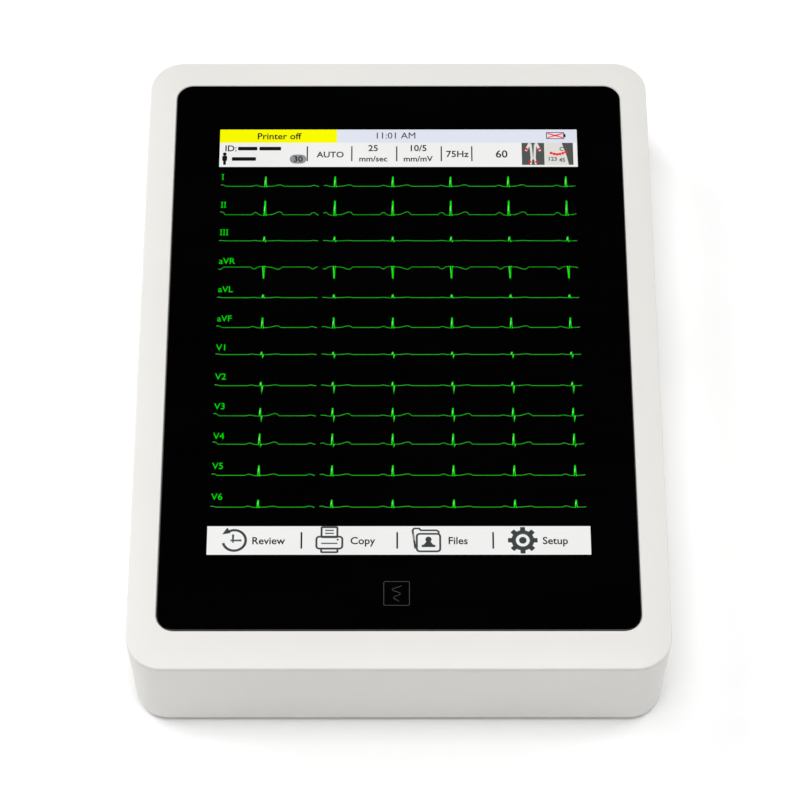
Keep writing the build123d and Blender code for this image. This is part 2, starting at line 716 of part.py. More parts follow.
def power_supply_parts():
    """Transformer, capacitors and a heat sink."""
    x0, y0, z = POWER_X0, MODULE_CENTRE_Y - POWER_BOARD_DEPTH / 2, MODULE_TOP
    parts = [block(x0 + 12, x0 + 36, y0 + 26, y0 + 52, z, z + 20)]
    for row in range(3):
        parts.append(rod_z(5, z, z + 18, x0 + 16 + row * 11, y0 + 16))
    parts.append(block(x0 + 10, x0 + 34, y0 + 60, y0 + 64, z, z + 22))
    return group(parts)


def battery_pack():
    """Four cells in one wrap, resting on the battery door."""
    z0 = BASE_Z + DOOR_PLATE + 0.3
    cell_r = BATTERY_HEIGHT / 2
    pack = Pos(0, BATTERY_Y, z0 + BATTERY_HEIGHT / 2) * Box(
        BATTERY_WIDTH, BATTERY_DEPTH, BATTERY_HEIGHT
    )
    return fillet(pack.edges().filter_by(Axis.Y), cell_r * 0.6)


def speaker():
    y = FRONT_Y + SPEAKER_FROM_FRONT
    basket = rod_z(SPEAKER_R, FLOOR_Z, FLOOR_Z + 3, SPEAKER_X, y)
    basket -= rod_z(SPEAKER_R - 3, FLOOR_Z - 1, FLOOR_Z + 1.2, SPEAKER_X, y)
    return basket + rod_z(SPEAKER_R * 0.6, FLOOR_Z + 3, FLOOR_Z + SPEAKER_HEIGHT, SPEAKER_X, y)


# ---- sockets ----
def usb_sockets():
    sockets = []
    face = wall_face(HALF_WIDTH, MAIN_BOARD_TOP) - 0.4
    z = MAIN_BOARD_TOP + USB_HEIGHT / 2
    for offset in USB_FROM_FRONT:
        y = FRONT_Y + offset
        shell = Pos(face - USB_DEPTH / 2, y, z) * Box(USB_DEPTH, USB_WIDTH, USB_HEIGHT)
        shell -= Pos(face - 4, y, z) * Box(10, 12.5, 5.12)
        shell += Pos(face - 5.5, y, z + 0.9) * Box(8, 11.1, 1.8)
        sockets.append(shell)
    return group(sockets)


def lan_socket():
    face = wall_face(HALF_WIDTH, MAIN_BOARD_TOP) - 0.4
    y = FRONT_Y + LAN_FROM_FRONT
    z = MAIN_BOARD_TOP + LAN_HEIGHT / 2
    body = Pos(face - LAN_DEPTH / 2, y, z) * Box(LAN_DEPTH, LAN_WIDTH, LAN_HEIGHT)
    body -= Pos(face - 5, y, z - 0.8) * Box(14, 11.9, 8.0)
    body -= Pos(face - 5, y, z + 3.8) * Box(14, 6.2, 2.4)
    return body


def patient_connector():
    """Fifteen-way socket: flange behind the pocket floor, shell in the pocket."""
    back = PATIENT_FLOOR_X - 2
    flange = block(
        back - 1, back, PATIENT_Y - 19.6, PATIENT_Y + 19.6, PATIENT_Z - 6.2, PATIENT_Z + 6.2
    )
    shell = strip_x(d_outline(24.9, 8.3), back - 0.5, back + 8)
    rear = block(back - 9, back - 1, PATIENT_Y - 12, PATIENT_Y + 12, PATIENT_Z - 5, PATIENT_Z + 5)
    body = flange + shell + rear
    for row, count in ((1, 8), (-1, 7)):
        for step in range(count):
            y = PATIENT_Y + (step - (count - 1) / 2) * 2.77
            body -= rod_x(0.6, back + 2, back + 9, y, PATIENT_Z + row * 1.42)
    for side in (-1, 1):
        body -= rod_x(1.6, back - 2, back + 1, PATIENT_Y + side * 16.65, PATIENT_Z)
    return body


def connector_posts():
    """Hexagonal posts that the patient plug screws onto."""
    posts = []
    for side in (-1, 1):
        outline = Plane.YZ.offset(PATIENT_FLOOR_X) * Pos(PATIENT_Y + side * 16.65, PATIENT_Z)
        head = extrude(outline * RegularPolygon(2.8, 6), 5)
        y = PATIENT_Y + side * 16.65
        head -= rod_x(1.3, PATIENT_FLOOR_X + 1, PATIENT_FLOOR_X + 6, y, PATIENT_Z)
        posts.append(head + rod_x(1.45, PATIENT_FLOOR_X - 5, PATIENT_FLOOR_X, y, PATIENT_Z))
    return group(posts)


def mains_inlet():
    """Three-pole appliance inlet set flush in its pocket."""
    floor = -MAINS_FLOOR_X
    flange = Pos(floor - 1, MAINS_Y, MAINS_Z) * Box(2.0, 31, 24)
    body = Pos(floor + 11, MAINS_Y, MAINS_Z) * Box(22, 27, 19.6)
    inlet = flange + body
    cavity = Pos(floor + 6, MAINS_Y, MAINS_Z) * Box(16, 24.4, 16.8)
    return inlet - chamfer(cavity.edges().filter_by(Axis.X).sort_by(Axis.Z)[-2:], 4.0)


def mains_inlet_blades():
    floor = -MAINS_FLOOR_X
    blades = []
    for y, z in ((-7, -2), (0, 2), (7, -2)):
        blades.append(
            block(floor + 1, floor + 14, MAINS_Y + y - 1, MAINS_Y + y + 1,
                  MAINS_Z + z - 2, MAINS_Z + z + 2)
        )
    return group(blades)


def equipotential_pin():
    """Plain stud for the potential equalisation lead, with its shoulder and thread."""
    floor = -EARTH_FLOOR_X
    pin = rod_x(EARTH_PIN_R, floor - EARTH_PIN_LENGTH, floor - 2, EARTH_Y, EARTH_Z)
    pin = chamfer(pin.faces().sort_by(Axis.X)[0].edges(), 0.6)
    pin += rod_x(5.5, floor - 2, floor, EARTH_Y, EARTH_Z)
    return pin + rod_x(2.5, floor, floor + 7, EARTH_Y, EARTH_Z)


def equipotential_nut():
    x = -EARTH_FLOOR_X + 2
    outline = Plane.YZ.offset(x) * Pos(EARTH_Y, EARTH_Z) * RegularPolygon(4.6, 6)
    return extrude(outline, 4) - rod_x(2.55, x - 1, x + 5, EARTH_Y, EARTH_Z)


BUTTON_BACK_X = wall_face(HALF_WIDTH, BUTTON_Z) - WALL - 2.4


def power_button():
    """Round cap with a collar that keeps it inside the wall, and a stem."""
    face = HALF_WIDTH - 0.1
    cap = rod_x(BUTTON_R, BUTTON_BACK_X, face, BUTTON_Y, BUTTON_Z)
    cap = fillet(cap.faces().sort_by(Axis.X)[-1].edges(), 0.4)
    cap += rod_x(BUTTON_R + 1.5, BUTTON_BACK_X, BUTTON_BACK_X + 1.6, BUTTON_Y, BUTTON_Z)
    return cap + rod_x(2.0, BUTTON_BACK_X - 4, BUTTON_BACK_X, BUTTON_Y, BUTTON_Z)


SWITCH_FACE_X = BUTTON_BACK_X - 4 - BUTTON_TRAVEL - 0.1


def power_switch():
    return block(
        SWITCH_FACE_X - 3.5, SWITCH_FACE_X, BUTTON_Y - 3, BUTTON_Y + 3, BUTTON_Z - 3, BUTTON_Z + 3
    )


def switch_board():
    x = SWITCH_FACE_X - 3.5
    return block(x - BOARD, x, BUTTON_Y - 12, BUTTON_Y + 8, MAIN_BOARD_TOP, BUTTON_Z + 8)


# ---- recorder ----
def involute(angle):
    return math.tan(angle) - angle


def gear_outline(teeth, phase):
    """Closed outline of a spur gear with one tooth centred at the phase angle."""
    pitch_r = GEAR_MODULE * teeth / 2
    base_r = pitch_r * math.cos(math.radians(20))
    radii = (pitch_r - 1.25 * GEAR_MODULE, pitch_r, pitch_r + 0.5 * GEAR_MODULE,
             pitch_r + 0.95 * GEAR_MODULE)
    halves = []
    for radius in radii:
        angle = math.acos(min(1.0, base_r / radius))
        half = math.pi / (2 * teeth) - GEAR_BACKLASH / (2 * pitch_r)
        halves.append(half + involute(math.radians(20)) - involute(angle))
    points = []
    for tooth in range(teeth):
        centre = phase + 2 * math.pi * tooth / teeth
        flank = list(zip(radii, halves))
        turns = [(r, centre - half) for r, half in flank]
        turns += [(r, centre + half) for r, half in reversed(flank)]
        points += [(r * math.cos(turn), r * math.sin(turn)) for r, turn in turns]
    return points


def gear(teeth, phase, y, z, bore):
    outline = [(y + py, z + pz) for py, pz in gear_outline(teeth, phase)]
    wheel = strip_x(outline, GEAR_X, GEAR_X + GEAR_FACE)
    return wheel - rod_x(bore, GEAR_X - 1, GEAR_X + GEAR_FACE + 1, y, z)


def mesh_phase(teeth, phase, mate_teeth, y0, z0, y1, z1):
    """Phase that a mating gear needs so that its gap takes the first gear's tooth."""
    line = math.atan2(z1 - z0, y1 - y0)
    lag = line - phase
    return line + math.pi + math.pi / mate_teeth + lag * teeth / mate_teeth


IDLER_PHASE = mesh_phase(
    PLATEN_TEETH, 0.0, IDLER_TEETH, PLATEN_Y, PLATEN_Z, IDLER_Y, IDLER_Z
)
TRANSFER_PHASE = mesh_phase(
    IDLER_TEETH, IDLER_PHASE, TRANSFER_TEETH, IDLER_Y, IDLER_Z, TRANSFER_Y, TRANSFER_Z
)
PINION_PHASE = mesh_phase(
    TRANSFER_TEETH, TRANSFER_PHASE, PINION_TEETH, TRANSFER_Y, TRANSFER_Z, MOTOR_Y, MOTOR_Z
)


def platen_gear():
    return gear(PLATEN_TEETH, 0.0, PLATEN_Y, PLATEN_Z, SHAFT_R)


def idler_gear():
    return gear(IDLER_TEETH, IDLER_PHASE, IDLER_Y, IDLER_Z, STUD_R + RUNNING_FIT)


def transfer_gear():
    """Large wheel, lightened by six round windows."""
    wheel = gear(TRANSFER_TEETH, TRANSFER_PHASE, TRANSFER_Y, TRANSFER_Z, STUD_R + RUNNING_FIT)
    for step in range(6):
        angle = math.pi * step / 3
        y = TRANSFER_Y + 11.5 * math.cos(angle)
        z = TRANSFER_Z + 11.5 * math.sin(angle)
        wheel -= rod_x(3.6, GEAR_X - 1, GEAR_X + GEAR_FACE + 1, y, z)
    return wheel


def motor_pinion():
    """Pinion moulded on the motor's shaft."""
    wheel = gear(PINION_TEETH, PINION_PHASE, MOTOR_Y, MOTOR_Z, 0.9)
    return wheel + rod_x(1.0, ARM_X - 8, GEAR_X + GEAR_FACE, MOTOR_Y, MOTOR_Z)


def feed_motor():
    can = rod_x(MOTOR_R, ARM_X - MOTOR_LENGTH, ARM_X, MOTOR_Y, MOTOR_Z)
    return can - rod_x(1.0 + RUNNING_FIT, ARM_X - 8.5, ARM_X + 1, MOTOR_Y, MOTOR_Z)


def cheek(side):
    """Side plate of the recorder frame, with the open slot for the roll's axle."""
    front = MOTOR_Y - MOTOR_R - 2 if side > 0 else BAY_FRONT_Y
    x0, x1 = side * ARM_X, side * (ARM_X + ARM_THICKNESS - 0.2)
    plate = block(x0, x1, front, CHEEK_REAR_Y, FLOOR_Z, CHEEK_TOP_Z)
    plate += block(x0, x1, HEAD_FRONT_Y - 0.5, CHEEK_REAR_Y, CHEEK_TOP_Z - 1, BEAM_Z)
    axle = SHAFT_R + RUNNING_FIT
    plate -= rod_x(axle, side * (ARM_X - 1), side * (ARM_X + 4), ROLL_Y, ROLL_Z)
    plate -= block(
        side * (ARM_X - 1), side * (ARM_X + 4), ROLL_Y, CHEEK_REAR_Y + 1,
        ROLL_Z - axle, ROLL_Z + axle,
    )
    pivot = 1.0 + RUNNING_FIT
    plate -= rod_x(pivot, side * (ARM_X - 1), side * (ARM_X + 4), PIVOT_Y, PIVOT_Z)
    return plate


def frame_feet_places():
    """Feet rows: one ahead of the large gear's lowest teeth, one near the rear."""
    rows = (TRANSFER_Y - FRAME_FOOT_LEAD, CHEEK_REAR_Y - 8)
    return [(side * (ARM_X + 7), y) for side in (-1, 1) for y in rows]


def printer_frame():
    """Sheet frame: two cheeks, a cross wall, feet and the gear studs."""
    wall = block(-ARM_X - 0.5, ARM_X + 0.5, BAY_FRONT_Y, BAY_FRONT_Y + 1.6, FLOOR_Z, CHEEK_TOP_Z)
    frame = wall + cheek(-1) + cheek(1)
    for x, y in frame_feet_places():
        side = math.copysign(1, x)
        foot = block(side * ARM_X, side * (ARM_X + 11), y - 5, y + 5, FLOOR_Z, FLOOR_Z + 1.6)
        frame += foot
        frame -= rod_z(1.6, FLOOR_Z - 1, FLOOR_Z + 3, x, y)
    for y, z in ((IDLER_Y, IDLER_Z), (TRANSFER_Y, TRANSFER_Z)):
        frame += rod_x(STUD_R, ARM_X + 1, GEAR_X + GEAR_FACE + 0.8, y, z)
    frame -= rod_x(2.2, ARM_X - 1, ARM_X + 4, MOTOR_Y, MOTOR_Z)
    return frame


def frame_screws():
    screws = []
    top = FLOOR_Z + 1.6
    for x, y in frame_feet_places():
        screws.append(rod_z(2.6, top, top + 1.8, x, y) + rod_z(1.4, FLOOR_Z, top, x, y))
    return group(screws)


def head_beam():
    """Folded bar that the head springs push against."""
    half = ARM_X + ARM_THICKNESS - 0.2
    beam = block(-half, half, HEAD_FRONT_Y - 0.5, HEAD_REAR_Y - 1, BEAM_Z, BEAM_Z + BEAM_THICKNESS)
    for x in spring_places():
        beam -= rod_z(0.8, BEAM_Z - 1, BEAM_Z + 3, x, SPRING_Y)
    return beam


SPRING_Y = PIVOT_Y + 8.5


def spring_places():
    return [PAPER_WIDTH * share for share in (-0.36, -0.12, 0.12, 0.36)]


def head_springs():
    """Short compression coils between the head and the beam."""
    low = HEAD_PLATE_Z + HEAD_PLATE + 0.4 + SPRING_WIRE
    high = BEAM_Z - SPRING_WIRE
    coils = []
    for x in spring_places():
        path = Helix((high - low) / 2.5, high - low, SPRING_R - SPRING_WIRE)
        start = path @ 0
        section = Plane(origin=start, z_dir=path % 0) * Circle(SPRING_WIRE)
        coils.append(Pos(x, SPRING_Y, low) * sweep(section, path=path, is_frenet=True))
    return group(coils)


def print_head_plate():
    """Aluminium carrier of the heating line, with its two pivots."""
    half = PAPER_WIDTH / 2 + 1.6
    plate = block(-half, half, HEAD_FRONT_Y, HEAD_REAR_Y, HEAD_PLATE_Z, HEAD_PLATE_Z + HEAD_PLATE)
    reach = ARM_X + 1.6
    return plate + rod_x(0.95, -reach, reach, PIVOT_Y, PIVOT_Z)


def print_head_ceramic():
    half = PAPER_WIDTH / 2 + 1.0
    return block(-half, half, HEAD_REAR_Y - 10, HEAD_REAR_Y, HEAD_FACE_Z, HEAD_PLATE_Z)


def print_head_cable():
    """Flat cable from the main board, over the modules, to the head's front edge."""
    x0, x1 = 20.0, 50.0
    z = CHEEK_TOP_Z + 0.7
    front = MAIN_BOARD_Y1 - 6
    rise = block(x0, x1, front, front + 0.4, MAIN_BOARD_TOP, z)
    run = block(x0, x1, front, HEAD_FRONT_Y - 0.8, z, z + 0.4)
    end = block(x0, x1, HEAD_FRONT_Y - 1.2, HEAD_FRONT_Y - 0.8, z, PIVOT_Z)
    return rise + run + end


def paper_roll():
    half = PAPER_WIDTH / 2
    roll = rod_x(ROLL_R, -half, half, ROLL_Y, ROLL_Z)
    return roll - rod_x(CORE_R, -half - 1, half + 1, ROLL_Y, ROLL_Z)


def roll_core():
    half = PAPER_WIDTH / 2
    core = rod_x(CORE_R, -half, half, ROLL_Y, ROLL_Z)
    return core - rod_x(CORE_R - CORE_WALL, -half - 1, half + 1, ROLL_Y, ROLL_Z)


def roll_hubs():
    """Plugs in the core's ends, with a rim and an axle each."""
    hubs = []
    half = PAPER_WIDTH / 2
    for side in (-1, 1):
        hub = rod_x(CORE_R - CORE_WALL, side * (half - 8), side * half, ROLL_Y, ROLL_Z)
        hub += rod_x(CORE_R + 6, side * half, side * (half + 1.2), ROLL_Y, ROLL_Z)
        hub += rod_x(SHAFT_R, side * half, side * (ARM_X + ARM_THICKNESS - 0.2), ROLL_Y, ROLL_Z)
        hubs.append(hub)
    return group(hubs)


def paper_web():
    """Paper from the top of the roll to the nip."""
    half = PAPER_WIDTH / 2
    low = ROLL_Z + ROLL_R + 0.35
    high = PLATEN_Z + PLATEN_R + 0.22
    tip = PLATEN_Y - 2.5
    outline = [
        (ROLL_Y, low), (tip, high), (tip, high + WEB_THICKNESS), (ROLL_Y, low + WEB_THICKNESS)
    ]
    return strip_x(outline, -half, half)


def tear_bar():
    """Serrated strip above the paper slot."""
    y1 = wall_face(HALF_DEPTH, SLOT_TOP_Z) - WALL - 0.15
    half = PAPER_WIDTH / 2 + 2
    bar = block(-half, half, y1 - 0.8, y1, SLOT_TOP_Z + 0.2, LEDGE_UNDER_Z - 0.6)
    teeth = int(2 * half / 4)
    for step in range(teeth):
        x = -half + 2 + step * 4.0
        bar -= Pos(x, y1 - 0.4, SLOT_TOP_Z + 0.2) * Rot(0, 45, 0) * Box(1.0, 2, 1.0)
    return bar


# ---- paper door ----
def platen_arm(side):
    """Bracket on the door that carries one end of the platen."""
    x0, x1 = side * ARM_X, side * (ARM_X + ARM_THICKNESS)
    top = DOOR_TOP_Z - 0.5
    arm = block(x0, x1, PLATEN_Y, HINGE_Y + 1, PLATEN_Z - 6.2, top)
    arm += rod_x(6.2, x0, x1, PLATEN_Y, PLATEN_Z)
    return arm - rod_x(BUSHING_R, side * (ARM_X - 1), side * (ARM_X + 4), PLATEN_Y, PLATEN_Z)


def lock_window(side):
    """Slot in the door that the lock's stem runs in."""
    x = side * (ARM_X - 16)
    return Pos(x + side * LOCK_TRAVEL / 2, HALF_DEPTH - 2, LOCK_Z) * Box(8.6 + LOCK_TRAVEL, 12, 4.4)


def paper_door():
    """Lid cut from the case's own rear wall, with barrel, arms and lock guides."""
    skin = case_solid(0, BASE_Z) - case_solid(WALL, BASE_Z)
    door = skin & block(-DOOR_HALF, DOOR_HALF, HINGE_Y - 3, HALF_DEPTH + 2, HINGE_Z, DOOR_TOP_Z)
    door += rod_x(BARREL_R, -DOOR_HALF, DOOR_HALF, HINGE_Y, HINGE_Z)
    door += [platen_arm(side) for side in (-1, 1)]
    for side in (-1, 1):
        x = side * (ARM_X - 16)
        door -= lock_window(side)
        recess = Box(13 + LOCK_TRAVEL, 2 * LOCK_RECESS, 11)
        door -= Pos(x + side * LOCK_TRAVEL / 2, wall_face(HALF_DEPTH, LOCK_Z), LOCK_Z) * recess
    door -= rod_x(HINGE_PIN_R + RUNNING_FIT, -DOOR_HALF - 1, DOOR_HALF + 1, HINGE_Y, HINGE_Z)
    grip = slab(44, 3.4, 1.6, DOOR_TOP_Z - 9, DOOR_TOP_Z + 1, wall_face(HALF_DEPTH, DOOR_TOP_Z))
    return door - grip


LOCK_RECESS = 1.3


def door_lock(side):
    """Sliding bolt: finger tab outside, stem through the door, bar inside."""
    x = side * (ARM_X - 16)
    face = wall_face(HALF_DEPTH, LOCK_Z)
    inner = HINGE_Y - 0.6
    tab = Pos(x, face - 0.55, LOCK_Z) * Box(12, 0.9, 10)
    stem = block(x - 4, x + 4, inner - 2.0, face - 0.6, LOCK_Z - 2, LOCK_Z + 2)
    bar = block(x - side * 5, side * (DOOR_HALF - 0.3), inner - 2.6, inner - 0.2, LOCK_Z - 3, LOCK_Z + 3)
    return tab + stem + bar


def hinge_pin():
    reach = OPENING_HALF + 3.0
    return rod_x(HINGE_PIN_R, -reach, reach, HINGE_Y, HINGE_Z)


def platen_shaft():
    return rod_x(SHAFT_R, -(ARM_X + ARM_THICKNESS), GEAR_X + GEAR_FACE, PLATEN_Y, PLATEN_Z)


def platen_rubber():
    tube = rod_x(PLATEN_R, -PLATEN_HALF, PLATEN_HALF, PLATEN_Y, PLATEN_Z)
    return tube - rod_x(SHAFT_R, -PLATEN_HALF - 1, PLATEN_HALF + 1, PLATEN_Y, PLATEN_Z)


def platen_bushings():
    rings = []
    for side in (-1, 1):
        x0, x1 = side * ARM_X, side * (ARM_X + ARM_THICKNESS)
        ring = rod_x(BUSHING_R, x0, x1, PLATEN_Y, PLATEN_Z)
        bore = rod_x(SHAFT_R + RUNNING_FIT, side * (ARM_X - 1), side * (ARM_X + 4), PLATEN_Y, PLATEN_Z)
        rings.append(ring - bore)
    return group(rings)


PIECES = (
    front_bezel, cover_glass, glass_gasket, lower_housing, housing_screws, rubber_feet,
    trolley_inserts, battery_door, battery_door_screws, lcd_panel, lcd_bracket, lcd_screws,
    key_board, display_cable, main_board, main_board_chips, board_screws, ecg_board, ecg_shield,
    power_supply_board, power_supply_parts, battery_pack, speaker, usb_sockets, lan_socket,
    patient_connector, connector_posts, mains_inlet, mains_inlet_blades, equipotential_pin,
    equipotential_nut, power_button, power_switch, switch_board, printer_frame, frame_screws,
    head_beam, head_springs, print_head_plate, print_head_ceramic, print_head_cable, paper_roll,
    roll_core, roll_hubs, paper_web, tear_bar, paper_door, hinge_pin, platen_shaft,
    platen_rubber, platen_bushings, platen_gear, idler_gear, transfer_gear, motor_pinion,
    feed_motor,
)


def main():
    os.makedirs("parts", exist_ok=True)
    for piece in PIECES:
        export_step(piece(), f"parts/{piece.__name__}.step")
    for name, side in (("left_door_lock", -1), ("right_door_lock", 1)):
        export_step(door_lock(side), f"parts/{name}.step")


main()
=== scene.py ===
# %% [markdown]
# # ECG machine with a glass front
# The real object is a flat white case, about as big as a large tablet, with one sheet of
# black glass over its whole front. A lit display shows twelve heart traces through the
# glass, and a paper recorder sits behind a door in the rear wall.
# The solid parts come ready made from the CAD frame, so this lesson gives them their
# finishes and adds what a solid model lacks: the lit picture, printed marks and contacts.

import math

import bmesh
import bpy
from mathutils import Color, Matrix, Vector


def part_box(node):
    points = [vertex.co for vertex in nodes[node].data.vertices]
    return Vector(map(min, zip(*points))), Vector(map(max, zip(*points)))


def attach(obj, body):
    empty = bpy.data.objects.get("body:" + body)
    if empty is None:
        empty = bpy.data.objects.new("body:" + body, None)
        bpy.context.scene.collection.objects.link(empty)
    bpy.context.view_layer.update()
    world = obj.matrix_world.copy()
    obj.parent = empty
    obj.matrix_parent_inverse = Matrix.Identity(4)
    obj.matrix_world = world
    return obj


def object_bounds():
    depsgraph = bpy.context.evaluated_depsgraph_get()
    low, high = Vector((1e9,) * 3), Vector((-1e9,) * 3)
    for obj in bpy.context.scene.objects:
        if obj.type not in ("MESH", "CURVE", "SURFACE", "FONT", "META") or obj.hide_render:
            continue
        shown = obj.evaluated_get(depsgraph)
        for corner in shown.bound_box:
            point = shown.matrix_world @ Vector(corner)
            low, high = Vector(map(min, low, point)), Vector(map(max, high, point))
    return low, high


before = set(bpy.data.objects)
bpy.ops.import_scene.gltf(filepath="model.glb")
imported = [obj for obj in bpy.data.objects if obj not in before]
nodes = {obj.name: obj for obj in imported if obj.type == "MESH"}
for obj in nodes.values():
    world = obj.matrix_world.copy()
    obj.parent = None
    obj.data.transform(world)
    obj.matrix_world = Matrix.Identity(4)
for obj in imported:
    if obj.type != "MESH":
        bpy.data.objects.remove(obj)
cad_low, cad_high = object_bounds()
scene = bpy.context.scene
MM = 0.001
print(len(nodes), "nodes; box in mm", [round(v / MM, 1) for v in cad_high - cad_low])

# %% [markdown]
# ## A small kit for finishes
# A finish is a Principled shader with a texture or two behind it. Colours are given as on
# a paint chart and turned into the linear values that a shader works with.

# %% Colours and shader


def tone(red, green, blue):
    """Linear colour from the 0 to 255 values of a paint chart."""
    linear = Color((red / 255, green / 255, blue / 255)).from_srgb_to_scene_linear()
    return (*linear, 1.0)


def shade(colour, share):
    """The same colour, lighter or darker."""
    return (*(min(1.0, channel * share) for channel in colour[:3]), 1.0)


def new_finish(name, roughness, metallic=0.0, settings=None):
    """Material with one Principled shader, whose plain values are set on its sockets."""
    material = bpy.data.materials.new(name)
    material.use_nodes = True
    shader = material.node_tree.nodes["Principled BSDF"]
    shader.inputs["Roughness"].default_value = roughness
    shader.inputs["Metallic"].default_value = metallic
    for socket, value in (settings or {}).items():
        shader.inputs[socket].default_value = value
    return material


print("middle grey is", [round(channel, 3) for channel in tone(128, 128, 128)[:3]])

# %% [markdown]
# ## Patterns and what they drive
# Every texture reads Object coordinates, which are metres here, so a scale of 2000 makes
# grains of about half a millimetre. Three helpers use a pattern: a tint between two
# tones, a spread of roughness, and a relief that tilts the surface. A noise seldom leaves
# the span from 0.3 to 0.7, so colour and roughness run their whole course inside it.

# %% Patterns
SPAN_LOW = 0.3
SPAN_HIGH = 0.7
dressed = set()


def pattern(material, kind, per_metre, stretch=(1, 1, 1), settings=None):
    """Factor of a texture on Object coordinates, squeezed along each axis by stretch."""
    tree = material.node_tree
    coordinates = tree.nodes.new("ShaderNodeTexCoord")
    mapping = tree.nodes.new("ShaderNodeMapping")
    mapping.inputs["Scale"].default_value = stretch
    texture = tree.nodes.new("ShaderNodeTex" + kind)
    texture.inputs["Scale"].default_value = per_metre
    for socket, value in (settings or {}).items():
        texture.inputs[socket].default_value = value
    tree.links.new(coordinates.outputs["Object"], mapping.inputs["Vector"])
    tree.links.new(mapping.outputs["Vector"], texture.inputs["Vector"])
    return texture.outputs["Distance" if kind == "Voronoi" else "Fac"]


def tint(material, factor, low, high, socket="Base Color", edges=(SPAN_LOW, SPAN_HIGH)):
    """Colour that runs from low to high along a factor."""
    tree = material.node_tree
    ramp = tree.nodes.new("ShaderNodeValToRGB")
    for element, colour, edge in zip(ramp.color_ramp.elements, (low, high), edges):
        element.color = colour
        element.position = edge
    tree.links.new(factor, ramp.inputs["Fac"])
    tree.links.new(ramp.outputs["Color"], tree.nodes["Principled BSDF"].inputs[socket])


def spread(material, factor, low, high):
    """Roughness that runs from low to high along a factor."""
    tree = material.node_tree
    span = tree.nodes.new("ShaderNodeMapRange")
    span.inputs["From Min"].default_value = SPAN_LOW
    span.inputs["From Max"].default_value = SPAN_HIGH
    span.inputs["To Min"].default_value = low
    span.inputs["To Max"].default_value = high
    tree.links.new(factor, span.inputs["Value"])
    tree.links.new(span.outputs["Result"], tree.nodes["Principled BSDF"].inputs["Roughness"])


def relief(material, factor, depth):
    """Surface tilt from a factor, depth in metres; a second call adds to the first."""
    tree = material.node_tree
    normal = tree.nodes["Principled BSDF"].inputs["Normal"]
    bump = tree.nodes.new("ShaderNodeBump")
    bump.inputs["Distance"].default_value = depth
    if normal.is_linked:
        tree.links.new(normal.links[0].from_socket, bump.inputs["Normal"])
    tree.links.new(factor, bump.inputs["Height"])
    tree.links.new(bump.outputs["Normal"], normal)


def dress(material, *names):
    """Gives CAD nodes their finish and notes them as done."""
    dressed.update(names)
    for name in names:
        for slot in nodes[name].material_slots:
            slot.material = material


print("nodes to dress:", len(nodes))

# %% [markdown]
# ## Case plastic
# The case is injection moulded in a warm white, with the fine spark-eroded texture that
# the mould leaves. It could be one flat grey value, but the eye reads plastic from three
# things together: a slow drift of tone, a fine grain, and a gloss that breaks up with it.

# %% Case plastic
CASE_WHITE = tone(215, 213, 209)
GRAIN = 2300.0
DRIFT = 11.0


def moulded(name, colour, roughness, depth, grain=GRAIN, drift=0.02):
    """Textured moulded plastic."""
    plastic = new_finish(name, roughness)
    slow = pattern(plastic, "Noise", DRIFT, settings={"Detail": 2.0})
    fine = pattern(plastic, "Noise", grain, settings={"Detail": 3.0, "Roughness": 0.6})
    tint(plastic, slow, shade(colour, 1 - drift), shade(colour, 1 + drift / 2))
    spread(plastic, fine, roughness - 0.05, roughness + 0.07)
    relief(plastic, fine, depth)
    return plastic


case_plastic = moulded("case_plastic", CASE_WHITE, 0.44, 0.02 * MM)
dress(case_plastic, "front_bezel", "lower_housing", "paper_door", "battery_door")
lock_grey = moulded("lock_grey_plastic", tone(128, 132, 137), 0.42, 0.010 * MM)
dress(lock_grey, "power_button", "left_door_lock", "right_door_lock")
socket_black = moulded("socket_black_plastic", tone(38, 38, 40), 0.38, 0.014 * MM, 1600.0, 0.15)
dress(socket_black, "speaker", "patient_connector", "mains_inlet", "power_switch")
gear_nylon = moulded("gear_nylon", tone(238, 235, 222), 0.40, 0.006 * MM, 900.0, 0.03)
dress(gear_nylon, "roll_hubs", "platen_gear", "idler_gear", "transfer_gear")
print("plastics:", case_plastic.name, lock_grey.name, socket_black.name, gear_nylon.name)

# %% [markdown]
# ## Cover glass
# The front is one sheet of glass, printed black behind, so it looks like a black mirror.
# A transparent shader over a black sheet would cost light paths and show the same thing,
# so the glass is a black, very smooth surface. Faint wiping marks vary its gloss. The
# display module under it is dark too, and a little duller.

# %% Cover glass and display
GLASS_GLOSS = (0.03, 0.075)
BLACK_PRINT = (0.0003, 0.0003, 0.0003, 1.0)
WIPED_PRINT = (0.0007, 0.0007, 0.0007, 1.0)
cover_black = new_finish(
    "black_cover_glass", 0.04, settings={"IOR": 1.5, "Specular IOR Level": 0.5}
)
wipes = pattern(cover_black, "Noise", 9.0, (1.0, 3.2, 1.0), {"Detail": 5.0, "Distortion": 0.8})
tint(cover_black, wipes, BLACK_PRINT, WIPED_PRINT)
spread(cover_black, wipes, *GLASS_GLOSS)
dress(cover_black, "cover_glass")
module_black = new_finish("display_module", 0.3)
haze = pattern(module_black, "Noise", 60.0)
tint(module_black, haze, tone(30, 30, 33), tone(36, 36, 40))
spread(module_black, haze, 0.26, 0.36)
dress(module_black, "lcd_panel")
print("glass roughness stays between", GLASS_GLOSS)

# %% [markdown]
# ## Rubber and foam
# Feet, platen and the tape under the glass are soft and dull. Moulded rubber has a bloom,
# a ground platen has fine rings round its axis, and foam has open cells.

# %% Rubber and foam


